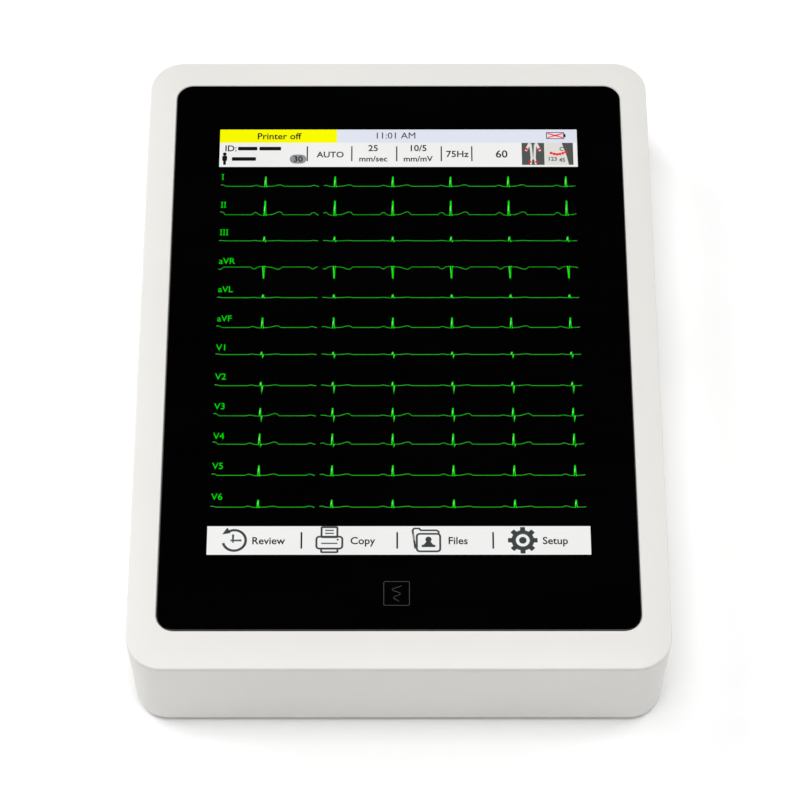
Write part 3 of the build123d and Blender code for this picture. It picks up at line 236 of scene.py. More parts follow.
def rubber(name, colour, roughness, grain, depth, stretch=(1, 1, 1)):
    """Dull elastic surface with grain at the given scale."""
    soft = new_finish(name, roughness, settings={"Specular IOR Level": 0.35})
    bloom = pattern(soft, "Noise", 45.0, settings={"Detail": 4.0})
    fine = pattern(soft, "Noise", grain, stretch, {"Detail": 2.0})
    tint(soft, bloom, shade(colour, 0.85), shade(colour, 1.2))
    spread(soft, fine, roughness - 0.08, roughness + 0.05)
    relief(soft, fine, depth)
    return soft


foot_rubber = rubber("moulded_foot_rubber", tone(58, 58, 60), 0.78, 1900.0, 0.02 * MM)
dress(foot_rubber, "rubber_feet")
ground_rubber = rubber("ground_platen_rubber", tone(52, 52, 55), 0.7, 60.0, 0.01 * MM, (60, 1, 1))
dress(ground_rubber, "platen_rubber")
tape_foam = rubber("foam_tape", tone(40, 40, 40), 0.9, 3200.0, 0.06 * MM)
dress(tape_foam, "glass_gasket")
print("rubbers:", foot_rubber.name, ground_rubber.name, tape_foam.name)

# %% [markdown]
# ## Metals
# Every metal here is a metallic shader with streaks left by the way it was made. The
# streaks are a noise squeezed along one axis or two. The shafts lie along X, so a squeeze
# along X gives them the rings of turning and grinding. The screws stand upright, and a
# squeeze along X and Y draws lines down them. Zinc-plated sheet has a faint spangle.

# %% Metals
EVEN = (1, 1, 1)
ACROSS_X = (60, 1, 1)


def metal(name, colour, roughness, stretch, grain=25.0, swing=0.1, depth=0.004 * MM):
    """Bare or plated metal with streaks."""
    bare = new_finish(name, roughness, 1.0)
    streaks = pattern(bare, "Noise", grain, stretch, {"Detail": 4.0, "Roughness": 0.65})
    stain = pattern(bare, "Noise", 70.0, settings={"Detail": 3.0})
    tint(bare, stain, shade(colour, 1 - swing), shade(colour, 1 + swing / 2))
    spread(bare, streaks, roughness - 0.08, roughness + 0.1)
    relief(bare, streaks, depth)
    return bare


zinc_sheet = metal("zinc_plated_sheet", tone(205, 208, 212), 0.36, EVEN, 300.0, 0.14)
spangle = pattern(zinc_sheet, "Voronoi", 190.0)
relief(zinc_sheet, spangle, 0.01 * MM)
dress(
    zinc_sheet, "lcd_bracket", "ecg_shield", "usb_sockets", "lan_socket", "printer_frame",
    "head_beam", "feed_motor",
)
screw_plate = metal("plated_screws", tone(190, 192, 196), 0.3, (40, 40, 1), 30.0)
dress(
    screw_plate, "housing_screws", "battery_door_screws", "lcd_screws", "board_screws",
    "connector_posts", "equipotential_nut", "frame_screws",
)
ground_rod = metal("ground_steel_rod", tone(214, 216, 219), 0.2, ACROSS_X)
dress(ground_rod, "tear_bar", "hinge_pin", "platen_shaft")
spring_wire = metal("spring_wire", tone(170, 172, 176), 0.32, (1, 1, 40))
dress(spring_wire, "head_springs")
milled_alloy = metal("milled_aluminium", tone(222, 223, 225), 0.34, ACROSS_X, 30.0)
dress(milled_alloy, "print_head_plate")
turned_brass = metal("turned_brass", tone(206, 170, 98), 0.26, ACROSS_X, 30.0)
dress(turned_brass, "trolley_inserts", "motor_pinion")
nickel_plate = metal("nickel_plated_brass", tone(208, 203, 190), 0.22, ACROSS_X, 30.0)
dress(nickel_plate, "mains_inlet_blades", "equipotential_pin")
sintered_bronze = metal(
    "sintered_bronze", tone(176, 132, 88), 0.5, EVEN, 1500.0, 0.2, 0.02 * MM
)
dress(sintered_bronze, "platen_bushings")
contact_gold = metal("contact_gold", tone(226, 186, 98), 0.24, ACROSS_X, 30.0)
metals = (
    zinc_sheet, screw_plate, ground_rod, spring_wire, milled_alloy, turned_brass,
    nickel_plate, sintered_bronze, contact_gold,
)
print(len(metals), "metals:", ", ".join(bare.name for bare in metals))

# %% [markdown]
# ## Boards, cables and cells
# A circuit board is glass cloth under green lacquer, with copper tracks that show as
# slightly raised, lighter lines. A brick texture gives their right-angled runs without
# drawing one. The flat cables have parallel cores, and the cells wear a shrunk sleeve.

# %% Electronics finishes
board_green = new_finish("green_circuit_board", 0.4)
tracks = pattern(
    board_green, "Brick", 120.0,
    settings={"Mortar Size": 0.05, "Brick Width": 0.9, "Row Height": 0.3, "Mortar Smooth": 0.2},
)
cloth = pattern(board_green, "Noise", 1400.0)
tint(board_green, tracks, tone(24, 92, 54), tone(44, 128, 76), edges=(0.1, 0.6))
spread(board_green, cloth, 0.32, 0.46)
relief(board_green, tracks, 0.03 * MM)
dress(
    board_green, "key_board", "main_board", "ecg_board", "power_supply_board", "switch_board"
)
chip_epoxy = moulded("black_chip_epoxy", tone(40, 40, 42), 0.5, 0.012 * MM, 2600.0, 0.15)
dress(chip_epoxy, "main_board_chips", "power_supply_parts")


def striped(name, colour, groove, per_metre, direction, roughness, depth):
    """Surface with even parallel stripes."""
    striped_finish = new_finish(name, roughness)
    bands = pattern(striped_finish, "Wave", per_metre, direction, {"Distortion": 0.0})
    fibres = pattern(striped_finish, "Noise", 900.0)
    tint(striped_finish, bands, groove, colour, edges=(0.05, 0.35))
    spread(striped_finish, fibres, roughness - 0.06, roughness + 0.08)
    relief(striped_finish, bands, depth)
    return striped_finish


CABLE_GREY = tone(226, 228, 230)
CORE_GROOVE = tone(176, 180, 186)
flat_cable = striped(
    "flat_ribbon_cable", CABLE_GREY, CORE_GROOVE, 250.0, (1, 0, 0), 0.45, 0.08 * MM
)
dress(flat_cable, "display_cable", "print_head_cable")
cell_sleeve = moulded("blue_cell_sleeve", tone(52, 92, 150), 0.3, 0.05 * MM, 160.0, 0.08)
dress(cell_sleeve, "battery_pack")
print("electronics finishes:", board_green.name, chip_epoxy.name, flat_cable.name)

# %% [markdown]
# ## Paper, card and the heating strip
# Thermal paper is smooth and slightly sheeny on its face, and a wound roll shows its
# layers as rings on the ends. A wave texture set to rings round the X axis draws them,
# once its coordinates are centred on the roll.

# %% Paper finishes
roll_low, roll_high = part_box("paper_roll")
roll_middle = (roll_low + roll_high) / 2
thermal_paper = new_finish("thermal_paper", 0.5, settings={"Sheen Weight": 0.08})
tree = thermal_paper.node_tree
centre_on_roll = tree.nodes.new("ShaderNodeMapping")
centre_on_roll.inputs["Location"].default_value = -roll_middle
paper_place = tree.nodes.new("ShaderNodeTexCoord")
layers = tree.nodes.new("ShaderNodeTexWave")
layers.wave_type = "RINGS"
layers.rings_direction = "X"
layers.inputs["Scale"].default_value = 420.0
layers.inputs["Distortion"].default_value = 0.6
tree.links.new(paper_place.outputs["Object"], centre_on_roll.inputs["Vector"])
tree.links.new(centre_on_roll.outputs["Vector"], layers.inputs["Vector"])
tint(thermal_paper, layers.outputs["Fac"], tone(226, 224, 218), tone(248, 247, 243))
spread(thermal_paper, pattern(thermal_paper, "Noise", 700.0), 0.42, 0.58)
dress(thermal_paper, "paper_roll", "paper_web")
core_card = new_finish("wound_card_core", 0.85)
plies = pattern(core_card, "Wave", 60.0, (1, 0.4, 0), {"Distortion": 1.0, "Detail": 3.0})
tint(core_card, plies, tone(158, 132, 100), tone(186, 160, 124))
relief(core_card, pattern(core_card, "Noise", 800.0), 0.05 * MM)
dress(core_card, "roll_core")
glazed_ceramic = moulded("glazed_alumina", tone(232, 228, 214), 0.2, 0.004 * MM, 500.0, 0.03)
dress(glazed_ceramic, "print_head_ceramic")
print("roll centred at", [round(v / MM, 1) for v in roll_middle])
print("nodes without a finish:", sorted(set(nodes) - dressed))

# %% [markdown]
# ## The lit picture
# The display glows through the glass. Its picture could be an image, but then it could
# not be edited or reused, so each part of it is a very thin raised shape that emits its
# own colour. The glass is solid black here, so the shapes lie just above it in four
# layers: panels, marks on them, and two more over those. They are drawn in millimetres,
# with the shapes of one colour together in one bmesh.

# %% Layers of the picture
GLASS_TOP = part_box("cover_glass")[1].z / MM
AIR_GAP = 0.01
SHEET = 0.03
LAYER_STEP = 0.06
BASE, MARK, OVER, TOP = range(4)


def layer_height(layer):
    """Middle height of a layer of the picture, counted up from the glass."""
    return GLASS_TOP + AIR_GAP + SHEET / 2 + LAYER_STEP * layer


def place(x, y, layer, turn=0.0):
    """Matrix that turns a shape and puts it on its layer."""
    return Matrix.Translation((x, y, layer_height(layer))) @ Matrix.Rotation(turn, 4, "Z")


def add_mesh(drawing, mesh, matrix):
    """Adds a small mesh to a drawing at its place."""
    mesh.transform(matrix)
    drawing.from_mesh(mesh)
    bpy.data.meshes.remove(mesh)


def add_piece(drawing, piece, matrix):
    """Adds a small bmesh to a drawing at its place."""
    mesh = bpy.data.meshes.new("piece")
    piece.to_mesh(mesh)
    piece.free()
    add_mesh(drawing, mesh, matrix)


print("glass top at", round(GLASS_TOP, 2), "mm, sheets", SHEET, "mm thick")

# %% [markdown]
# ## Plates and discs
# Most of the picture is cut from three kinds of sheet: a panel with square or round
# corners, a disc, and a plate with any outline.

# %% Plates and discs
CORNER_STEPS = 5


def add_panel(drawing, x, y, width, height, layer=BASE, corner=0.0, turn=0.0):
    """Thin plate about a middle point, with round corners if asked."""
    piece = bmesh.new()
    bmesh.ops.create_cube(piece, size=1.0)
    bmesh.ops.scale(piece, vec=(width, height, SHEET), verts=piece.verts)
    if corner:
        upright = [
            edge for edge in piece.edges
            if abs(edge.verts[0].co.z - edge.verts[1].co.z) > SHEET / 2
        ]
        bmesh.ops.bevel(
            piece, geom=upright, offset=corner, segments=CORNER_STEPS, profile=0.5,
            affect="EDGES", material=-1,
        )
    add_piece(drawing, piece, place(x, y, layer, turn))


def add_disc(drawing, x, y, radius, layer=BASE, sides=24):
    """Thin round plate about a middle point."""
    piece = bmesh.new()
    bmesh.ops.create_cone(
        piece, cap_ends=True, segments=sides, radius1=radius, radius2=radius, depth=SHEET
    )
    add_piece(drawing, piece, place(x, y, layer))


def add_shape(drawing, corners, layer=BASE, x=0.0, y=0.0):
    """Thin plate with the outline that the corners give."""
    piece = bmesh.new()
    outline = [piece.verts.new((cx, cy, -SHEET / 2)) for cx, cy in corners]
    face = piece.faces.new(outline)
    top = bmesh.ops.extrude_face_region(piece, geom=[face])["geom"]
    raised = [item for item in top if isinstance(item, bmesh.types.BMVert)]
    bmesh.ops.translate(piece, vec=(0, 0, SHEET), verts=raised)
    bmesh.ops.recalc_face_normals(piece, faces=piece.faces)
    add_piece(drawing, piece, place(x, y, layer))


print("round corners have", CORNER_STEPS, "steps")

# %% [markdown]
# ## Lines and words
# A line is a curve with a round section that is pressed flat, which gives it even width
# and clean corners. Words are a text curve. Both become meshes before they are placed.
# Type is sized by its capitals, so one capital is measured first.

# %% Lines and words
TYPE_WEIGHT = 0.08
TRIAL_SIZE = 100.0


def curve_to_mesh(curve):
    """Mesh of a curve, which is then thrown away."""
    holder = bpy.data.objects.new("holder", curve)
    mesh = bpy.data.meshes.new_from_object(holder)
    bpy.data.objects.remove(holder)
    bpy.data.curves.remove(curve)
    return mesh


def add_stroke(drawing, points, width, layer=BASE, x=0.0, y=0.0, closed=False):
    """Line of even width through some points."""
    curve = bpy.data.curves.new("stroke", "CURVE")
    curve.dimensions = "3D"
    curve.bevel_depth = width / 2
    curve.bevel_resolution = 1
    curve.use_fill_caps = True
    spline = curve.splines.new("POLY")
    spline.points.add(len(points) - 1)
    for point, (px, py) in zip(spline.points, points):
        point.co = (px, py, 0, 1)
    spline.use_cyclic_u = closed
    mesh = curve_to_mesh(curve)
    mesh.transform(Matrix.Diagonal((1, 1, SHEET / width, 1)))
    add_mesh(drawing, mesh, place(x, y, layer))


def word_mesh(words, size, align, weight=0.0):
    """Mesh of some words in the built-in typeface, fattened by weight all round."""
    curve = bpy.data.curves.new("words", "FONT")
    curve.body = words
    curve.size = size
    curve.align_x = align
    curve.extrude = SHEET / 2
    curve.offset = weight
    curve.resolution_u = 3
    return curve_to_mesh(curve)


capital = word_mesh("H", TRIAL_SIZE, "LEFT")
CAPITAL_SHARE = max(vertex.co.y for vertex in capital.vertices) / TRIAL_SIZE
bpy.data.meshes.remove(capital)


def add_words(drawing, words, x, y, height, layer=BASE, align="CENTER", weight=TYPE_WEIGHT):
    """Words whose capitals are height tall, standing on y."""
    mesh = word_mesh(words, height / CAPITAL_SHARE, align, weight)
    add_mesh(drawing, mesh, place(x, y, layer))


print("a capital is", round(CAPITAL_SHARE, 3), "of the type size")

# %% [markdown]
# ## From drawing to piece
# A finished drawing is welded, its faces are turned outward and it is scaled to metres.
# It rides on a body of the machine, so it follows when that body moves.

# %% Finish a drawing
WELD = 0.001


def finish_drawing(name, drawing, material, body="case"):
    """Turns a drawing into a piece in metres that rides on a body."""
    bmesh.ops.remove_doubles(drawing, verts=drawing.verts, dist=WELD)
    bmesh.ops.recalc_face_normals(drawing, faces=drawing.faces)
    bmesh.ops.scale(drawing, vec=(MM, MM, MM), verts=drawing.verts)
    mesh = bpy.data.meshes.new(name)
    drawing.to_mesh(mesh)
    drawing.free()
    mesh.materials.append(material)
    piece = bpy.data.objects.new(name, mesh)
    scene.collection.objects.link(piece)
    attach(piece, body)
    print(name, "has", len(mesh.polygons), "faces")


print("corners closer than", WELD, "mm are welded")

# %% [markdown]
# ## Display colours
# A lit display gives off its own light, so its colour goes to the emission socket at
# strength one, and the surface itself stays black and glossy like the glass round it. A
# backlight is never quite even, and a slow noise of a few percent shows that.

# %% Display colours
BLACK = (0, 0, 0, 1)


def glowing(name, colour):
    """Lit display colour behind glass."""
    lit = new_finish(name, 0.1, settings={"Emission Strength": 1.0, "Base Color": BLACK})
    backlight = pattern(lit, "Noise", 16.0, settings={"Detail": 1.0})
    tint(lit, backlight, shade(colour, 0.97), shade(colour, 1.01), "Emission Color")
    spread(lit, backlight, 0.08, 0.14)
    return lit


trace_green = glowing("lit_trace_green", tone(0, 226, 0))
line_green = glowing("lit_line_green", tone(0, 168, 0))
banner_yellow = glowing("lit_banner_yellow", tone(250, 251, 1))
banner_lavender = glowing("lit_banner_lavender", tone(225, 229, 241))
panel_white = glowing("lit_panel_white", tone(241, 241, 240))
ink_dark = glowing("lit_ink_dark", tone(22, 24, 26))
symbol_slate = glowing("lit_symbol_slate", tone(62, 68, 68))
pill_grey = glowing("lit_pill_grey", tone(146, 149, 150))
chart_grey = glowing("lit_chart_grey", tone(84, 86, 86))
chart_skin = glowing("lit_chart_skin", tone(226, 224, 219))
signal_red = glowing("lit_signal_red", tone(246, 34, 34))
lit_finishes = [finish for finish in bpy.data.materials if finish.name.startswith("lit_")]
print(len(lit_finishes), "display colours")

# %% [markdown]
# ## Panels of the screen
# Three panels frame the traces: a status banner and a settings panel above them, and a
# touch toolbar below. Their heights are measured from the middle of the display module,
# so they move with it if the module moves.

# %% Screen panels
display_low, display_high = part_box("lcd_panel")
SCREEN_MIDDLE = (display_low.y + display_high.y) / 2 / MM
SCREEN_HALF_WIDTH = 92.0
PICTURE_ABOVE = 122.8
PICTURE_BELOW = 122.9
SCREEN_TOP = SCREEN_MIDDLE + PICTURE_ABOVE
SCREEN_BOTTOM = SCREEN_MIDDLE - PICTURE_BELOW
BANNER_HEIGHT = 8.2
SETTINGS_HEIGHT = 14.9
TOOLBAR_HEIGHT = 15.3
YELLOW_END = -31.7
banner_y = SCREEN_TOP - BANNER_HEIGHT / 2
settings_y = SCREEN_TOP - BANNER_HEIGHT - SETTINGS_HEIGHT / 2
toolbar_y = SCREEN_BOTTOM + TOOLBAR_HEIGHT / 2

yellow = bmesh.new()
yellow_width = YELLOW_END + SCREEN_HALF_WIDTH
add_panel(yellow, YELLOW_END - yellow_width / 2, banner_y, yellow_width, BANNER_HEIGHT)
finish_drawing("screen_notice_banner", yellow, banner_yellow)
lavender = bmesh.new()
lavender_width = SCREEN_HALF_WIDTH - YELLOW_END
add_panel(lavender, YELLOW_END + lavender_width / 2, banner_y, lavender_width, BANNER_HEIGHT)
finish_drawing("screen_clock_banner", lavender, banner_lavender)
white = bmesh.new()
add_panel(white, 0, settings_y, 2 * SCREEN_HALF_WIDTH, SETTINGS_HEIGHT)
add_panel(white, 0, toolbar_y, 2 * SCREEN_HALF_WIDTH, TOOLBAR_HEIGHT)
finish_drawing("screen_white_panels", white, panel_white)

# %% [markdown]
# ## Words, figures and dividers
# The panels carry plain settings: paper speed, gain, filter and heart rate. Each row of
# the table gives the words, their middle, their height above the middle of the panel and
# the size of their capitals. The toolbar has one word beside each of its symbols.

# %% Words of the banner and the settings
BANNER_TYPE = 3.7
SETTINGS = (
    ("25", -13.0, 2.3, 3.6), ("10/5", 10.0, 2.3, 3.6),
    ("mm/sec", -13.0, -4.1, 3.2), ("mm/mV", 10.0, -4.1, 3.2),
    ("AUTO", -35.0, -1.6, 3.4), ("75Hz", 30.2, -1.4, 3.7), ("60", 53.0, -1.7, 4.3),
)
SETTINGS_DIVIDERS = (-46.9, -24.0, -0.9, 22.0, 37.7)
ink = bmesh.new()
add_words(ink, "Printer off", -61.6, banner_y - 1.9, BANNER_TYPE, MARK)
add_words(ink, "11:01 AM", -1.6, banner_y - 1.5, BANNER_TYPE, MARK, weight=0.0)
for words, x, rise, capital_height in SETTINGS:
    add_words(ink, words, x, settings_y + rise, capital_height, MARK)
for x in SETTINGS_DIVIDERS:
    add_panel(ink, x, settings_y + 0.6, 0.65, 9.2, MARK)
print(len(SETTINGS), "settings between", len(SETTINGS_DIVIDERS), "dividers")

# %% Words of the toolbar
TOOLBAR_TYPE = 3.7
TOOLBAR_WORDS = (("Review", -62.6), ("Copy", -17.4), ("Files", 28.3), ("Setup", 75.0))
TOOLBAR_DIVIDERS = (-46.7, -0.8, 45.2)
for words, x in TOOLBAR_WORDS:
    add_words(ink, words, x, toolbar_y - 2.0, TOOLBAR_TYPE, MARK)
for x in TOOLBAR_DIVIDERS:
    add_panel(ink, x, toolbar_y, 0.8, 8.8, MARK)
print(len(TOOLBAR_WORDS), "toolbar words")

# %% [markdown]
# ## Place of the patient's data
# Neutral bars stand for the patient's number and name, because a person's data doesn't
# belong on a model. A small standing figure and a grey pill with an age complete the
# corner. The pill is its own piece, since it has its own colour.

# %% Patient corner
UPPER_LINE = settings_y + 2.2
LOWER_LINE = settings_y - 4.2
ID_TYPE = 3.5
AGE_X = -51.6
AGE_TYPE = 3.3
PERSON_X = -89.3
BAR_HEIGHT = 2.2
BAR_CORNER = 0.5
number_bars = ((-77.6, UPPER_LINE, 10.0), (-66.0, UPPER_LINE, 11.2))
name_bar = (-79.4, LOWER_LINE, 12.4)
add_words(ink, "ID:", -89.4, UPPER_LINE, ID_TYPE, MARK, "LEFT")
for middle, line, width in (*number_bars, name_bar):
    add_panel(ink, middle, line + 1.6, width, BAR_HEIGHT, MARK, BAR_CORNER)
add_disc(ink, PERSON_X, settings_y + 0.4, 1.0, MARK, 16)
for drop, width, height, corner in ((2.2, 2.5, 3.2, 0.6), (4.8, 1.4, 2.8, 0.3)):
    add_panel(ink, PERSON_X, settings_y - drop, width, height, MARK, corner)
add_words(ink, "30", AGE_X, LOWER_LINE - 0.1, AGE_TYPE, OVER)
finish_drawing("screen_words", ink, ink_dark)
pill = bmesh.new()
add_panel(pill, AGE_X, LOWER_LINE + 1.5, 8.6, 5.6, MARK, 2.75)
finish_drawing("screen_age_pill", pill, pill_grey)

# %% [markdown]
# ## Battery sign and placement pictures
# The banner shows a battery outline with a red cross while no cells are charged, and two
# small pictures remind the user where the electrodes go: four on the limbs and six in an
# arc across the chest. The red parts of all three are collected in one drawing.

# %% Battery sign
BATTERY_X = 81.0
SIGN_RISE = 0.3
battery_outline = [(-4.6, -1.6), (4.2, -1.6), (4.2, 2.2), (-4.6, 2.2)]
case_line = bmesh.new()
add_stroke(case_line, battery_outline, 0.6, MARK, BATTERY_X, banner_y, closed=True)
add_panel(case_line, BATTERY_X + 4.8, banner_y + SIGN_RISE, 0.8, 2.0, MARK)
finish_drawing("battery_sign_outline", case_line, ink_dark)
red = bmesh.new()
for rise in (1.3, -1.3):
    add_stroke(red, [(-4.0, -rise), (3.7, rise)], 0.75, OVER, BATTERY_X, banner_y + SIGN_RISE)

# %% Electrode pictures
LIMB_PICTURE_X = 69.2
CHEST_PICTURE_X = 82.5
PICTURE_HEIGHT = 13.6
LIMB_DOT = 0.75
CHEST_DOT = 0.8
PICTURE_TYPE = 2.2
picture_y = settings_y + 0.5
grey = bmesh.new()
add_panel(grey, LIMB_PICTURE_X, picture_y, 11.6, PICTURE_HEIGHT, MARK)
shoulder = [(1.6, 6.8), (7.3, 6.8), (7.3, -6.8), (5.0, -6.8), (4.0, -1.5), (2.8, 2.6)]
add_shape(grey, shoulder, OVER, CHEST_PICTURE_X, picture_y)
for words, x, y in (("C", 1.4, 1.9), ("123", -3.4, -4.2), ("45", 1.6, -4.8)):
    add_words(grey, words, CHEST_PICTURE_X + x, picture_y + y, PICTURE_TYPE, OVER)
finish_drawing("electrode_picture_grounds", grey, chart_grey)
skin = bmesh.new()
add_panel(skin, CHEST_PICTURE_X, picture_y, 14.8, PICTURE_HEIGHT, MARK)
arm = (2.6, 4.4, 1.3, 5.8, 0.5, 0.4)
trunk = (0.9, 1.2, 1.2, 9.6, 0.5, -0.06)
leg = (1.1, -4.6, 0.9, 4.0, 0.4, 0.1)
for side in (-1, 1):
    for out, rise, width, height, corner, turn in (arm, trunk, leg):
        limb_x = LIMB_PICTURE_X + side * out
        add_panel(skin, limb_x, picture_y + rise, width, height, OVER, corner, side * turn)
finish_drawing("electrode_picture_limbs", skin, chart_skin)
for out, rise in ((-3.3, 2.9), (3.3, 2.9), (-1.7, -5.0), (1.7, -5.0)):
    add_disc(red, LIMB_PICTURE_X + out, picture_y + rise, LIMB_DOT, TOP, 16)
for step in range(6):
    sag = 0.9 * math.sin(0.75 * step)
    dot_x = CHEST_PICTURE_X - 4.0 + 1.5 * step
    add_disc(red, dot_x, picture_y + 0.5 - sag, CHEST_DOT, TOP, 16)
finish_drawing("red_marks", red, signal_red)

# %% [markdown]
# ## Heart traces
# Twelve leads run one below another down the screen. Each beat is the same few corners:
# a small P wave, the sharp QRS spike and the round T wave. A row of the table gives a
# lead's name, how far the name stands above the line, the height of the line itself, and
# the heights of its P wave, spike, dip and T wave.

# %% One beat
LEADS = (
    ("I", 4.0, 96.0, 0.6, 5.9, 0.0, 0.9), ("II", 4.3, 78.7, 1.4, 8.6, 0.0, 1.8),
    ("III", 3.4, 63.0, 0.2, 2.4, -0.5, 0.2), ("aVR", 1.9, 47.4, -1.2, -7.0, 0.0, -1.4),
    ("aVL", 3.3, 29.3, 0.2, 1.7, 0.0, 0.3), ("aVF", 3.6, 11.9, 0.6, 5.8, 0.0, 1.0),
    ("V1", 2.4, -3.7, 0.3, 1.3, -2.1, 0.4), ("V2", 3.5, -21.5, 0.4, 2.0, -4.5, 0.5),
    ("V3", 3.7, -38.5, 0.4, 4.3, -3.3, 1.3), ("V4", 2.9, -54.4, 0.7, 5.9, -1.2, 1.3),
    ("V5", 3.5, -71.6, 0.7, 5.5, 0.0, 0.8), ("V6", 4.0, -89.0, 0.6, 3.9, 0.0, 0.5),
)


def beat(p_wave, spike, dip, t_wave):
    """Corners of the P wave, the spike and the T wave, measured from the spike's foot."""
    rise = [
        (-6.6, 0), (-5.6, 0.75 * p_wave), (-4.8, p_wave), (-4.0, 0.75 * p_wave), (-3.0, 0)
    ]
    sharp = [
        (-0.45, -0.06 * spike), (-0.12, 0.95 * spike), (0.12, 0.95 * spike),
        (0.45, dip - 0.06 * spike), (0.85, 0),
    ]
    fall = [
        (3.0, 0), (4.6, 0.3 * t_wave), (6.2, 0.8 * t_wave), (7.5, t_wave),
        (8.4, 0.7 * t_wave), (9.3, 0),
    ]
    return rise, sharp, fall


print(len(LEADS), "leads, lowest line at", LEADS[-1][2])

# %% [markdown]
# ## A whole line
# A loop repeats the beat along each line, and the line is cut where the screen ends. A
# narrow gap marks where the newest beats overwrite the old ones. The spikes are drawn
# again in a wider, brighter stroke, because a fast sweep looks brighter on a screen.

# %% Heart traces
BEAT_SPACING = 29.5
FIRST_PEAK = -97.4
PEAK_AFTER_GAP = -32.4
TRACE_START = -90.8
GAP_START = -40.7
GAP_END = -38.2
TRACE_END = 90.4
LINE_WIDTH = 0.36
SPIKE_WIDTH = 0.62
BEYOND = 99.0


def trace(peaks, start, end, corners):
    """Points of one line between two places, cut where it runs past them."""
    points = [(start - BEYOND, 0)]
    points += [(peak + along, height) for peak in peaks for along, height in corners]
    points.append((end + BEYOND, 0))
    inside = []
    for (x0, y0), (x1, y1) in zip(points, points[1:]):
        for cut in (start, end):
            if x0 < cut <= x1:
                inside.append((cut, y0 + (y1 - y0) * (cut - x0) / (x1 - x0)))
        if start < x1 < end:
            inside.append((x1, y1))
    return inside


early_peaks = [FIRST_PEAK + BEAT_SPACING * step for step in range(3)]
late_peaks = [PEAK_AFTER_GAP + BEAT_SPACING * step for step in range(5)]
stretches = ((early_peaks, TRACE_START, GAP_START), (late_peaks, GAP_END, TRACE_END))
lines = bmesh.new()
spikes = bmesh.new()
for _, _, line_y, *heights in LEADS:
    rise, sharp, fall = beat(*heights)
    for peaks, start, end in stretches:
        whole = trace(peaks, start, end, rise + sharp + fall)
        add_stroke(lines, whole, LINE_WIDTH, MARK, 0, line_y)
        for peak in peaks:
            if start < peak < end:
                add_stroke(spikes, sharp, SPIKE_WIDTH, OVER, peak, line_y)
finish_drawing("trace_lines", lines, line_green)

# %% [markdown]
# ## Lead names
# The first three leads have Roman numerals, which need serifs to be read as numerals. The
# built-in typeface has none, so each stroke is three small panels. The other names are
# plain words.

# %% Lead names
LABEL_X = -90.6
LABEL_HEIGHT = 3.4
NUMERAL_PITCH = 1.5
STEM_WIDTH = 0.42
SERIF_WIDTH = 1.15
SERIF_HEIGHT = 0.3


def add_numeral(drawing, count, x, y):
    """Roman numeral of one, two or three strokes, with serifs."""
    for stroke in range(count):
        middle = x + 0.7 + NUMERAL_PITCH * stroke
        add_panel(drawing, middle, y + LABEL_HEIGHT / 2, STEM_WIDTH, LABEL_HEIGHT, MARK)
        for end in (SERIF_HEIGHT / 2, LABEL_HEIGHT - SERIF_HEIGHT / 2):
            add_panel(drawing, middle, y + end, SERIF_WIDTH, SERIF_HEIGHT, OVER)


for name, name_rise, line_y, *_ in LEADS:
    if set(name) == {"I"}:
        add_numeral(spikes, len(name), LABEL_X, line_y + name_rise)
    else:
        add_words(spikes, name, LABEL_X, line_y + name_rise, LABEL_HEIGHT, MARK, "LEFT", 0.0)
finish_drawing("trace_spikes_and_lead_names", spikes, trace_green)

# %% [markdown]
# ## Toolbar symbols
# Four touch symbols: a clock that turns back, a printer, a folder and a gear wheel. The
# outlines are strokes along arcs and round-cornered boxes, which two small helpers work
# out. Symbols and helpers measure from the middle of the symbol.

# %% Outlines
SYMBOL_LINE = 1.0


def arc(radius, start, end, steps=24):
    """Points on an arc, angles in degrees."""
    turns = [math.radians(start + (end - start) * step / steps) for step in range(steps + 1)]
    return [(radius * math.cos(turn), radius * math.sin(turn)) for turn in turns]


def round_box(width, height, corner):
    """Outline of a rectangle with round corners about its middle."""
    points = []
    for quarter, (sx, sy) in enumerate(((1, 1), (-1, 1), (-1, -1), (1, -1))):
        for px, py in arc(corner, 90 * quarter, 90 * quarter + 90, 4):
            points.append((sx * (width / 2 - corner) + px, sy * (height / 2 - corner) + py))
    return points


print("symbol lines are", SYMBOL_LINE, "mm wide")

# %% Clock that turns back
CLOCK_X = -78.9
RING_LINE = 1.3
HAND_LINE = 1.1
arrow_head = [(-5.9, 3.2), (-1.8, 3.9), (-3.4, 6.9)]
long_hands = [(-0.6, 3.2), (-0.6, 0), (3.4, 0)]
hand_ends = [(-1.8, 0), (-0.6, 0), (-0.6, -1.2)]
symbols = bmesh.new()
add_stroke(symbols, arc(5.5, 130, -165), RING_LINE, MARK, CLOCK_X, toolbar_y)
add_shape(symbols, arrow_head, OVER, CLOCK_X, toolbar_y)
for hands in (long_hands, hand_ends):
    add_stroke(symbols, hands, HAND_LINE, MARK, CLOCK_X, toolbar_y)
print("clock at", CLOCK_X)

# %% Printer
PRINTER_X = -33.3
printer_body = (12.4, 6.4, 1.4, -1.2)
printer_paper = (7.6, 5.4, 0.4, 4.4)
printer_tray = (7.8, 1.9, 0.4, -5.4)
for width, height, corner, rise in (printer_body, printer_paper, printer_tray):
    outline = round_box(width, height, corner)
    add_stroke(symbols, outline, SYMBOL_LINE, MARK, PRINTER_X, toolbar_y + rise, closed=True)
for rise, width in ((5.4, 4.2), (3.8, 4.2), (-1.6, 7.8)):
    add_panel(symbols, PRINTER_X, toolbar_y + rise, width, 0.6, MARK)
add_disc(symbols, PRINTER_X + 4.0, toolbar_y + 0.4, 0.5, MARK, 12)
print("printer at", PRINTER_X)

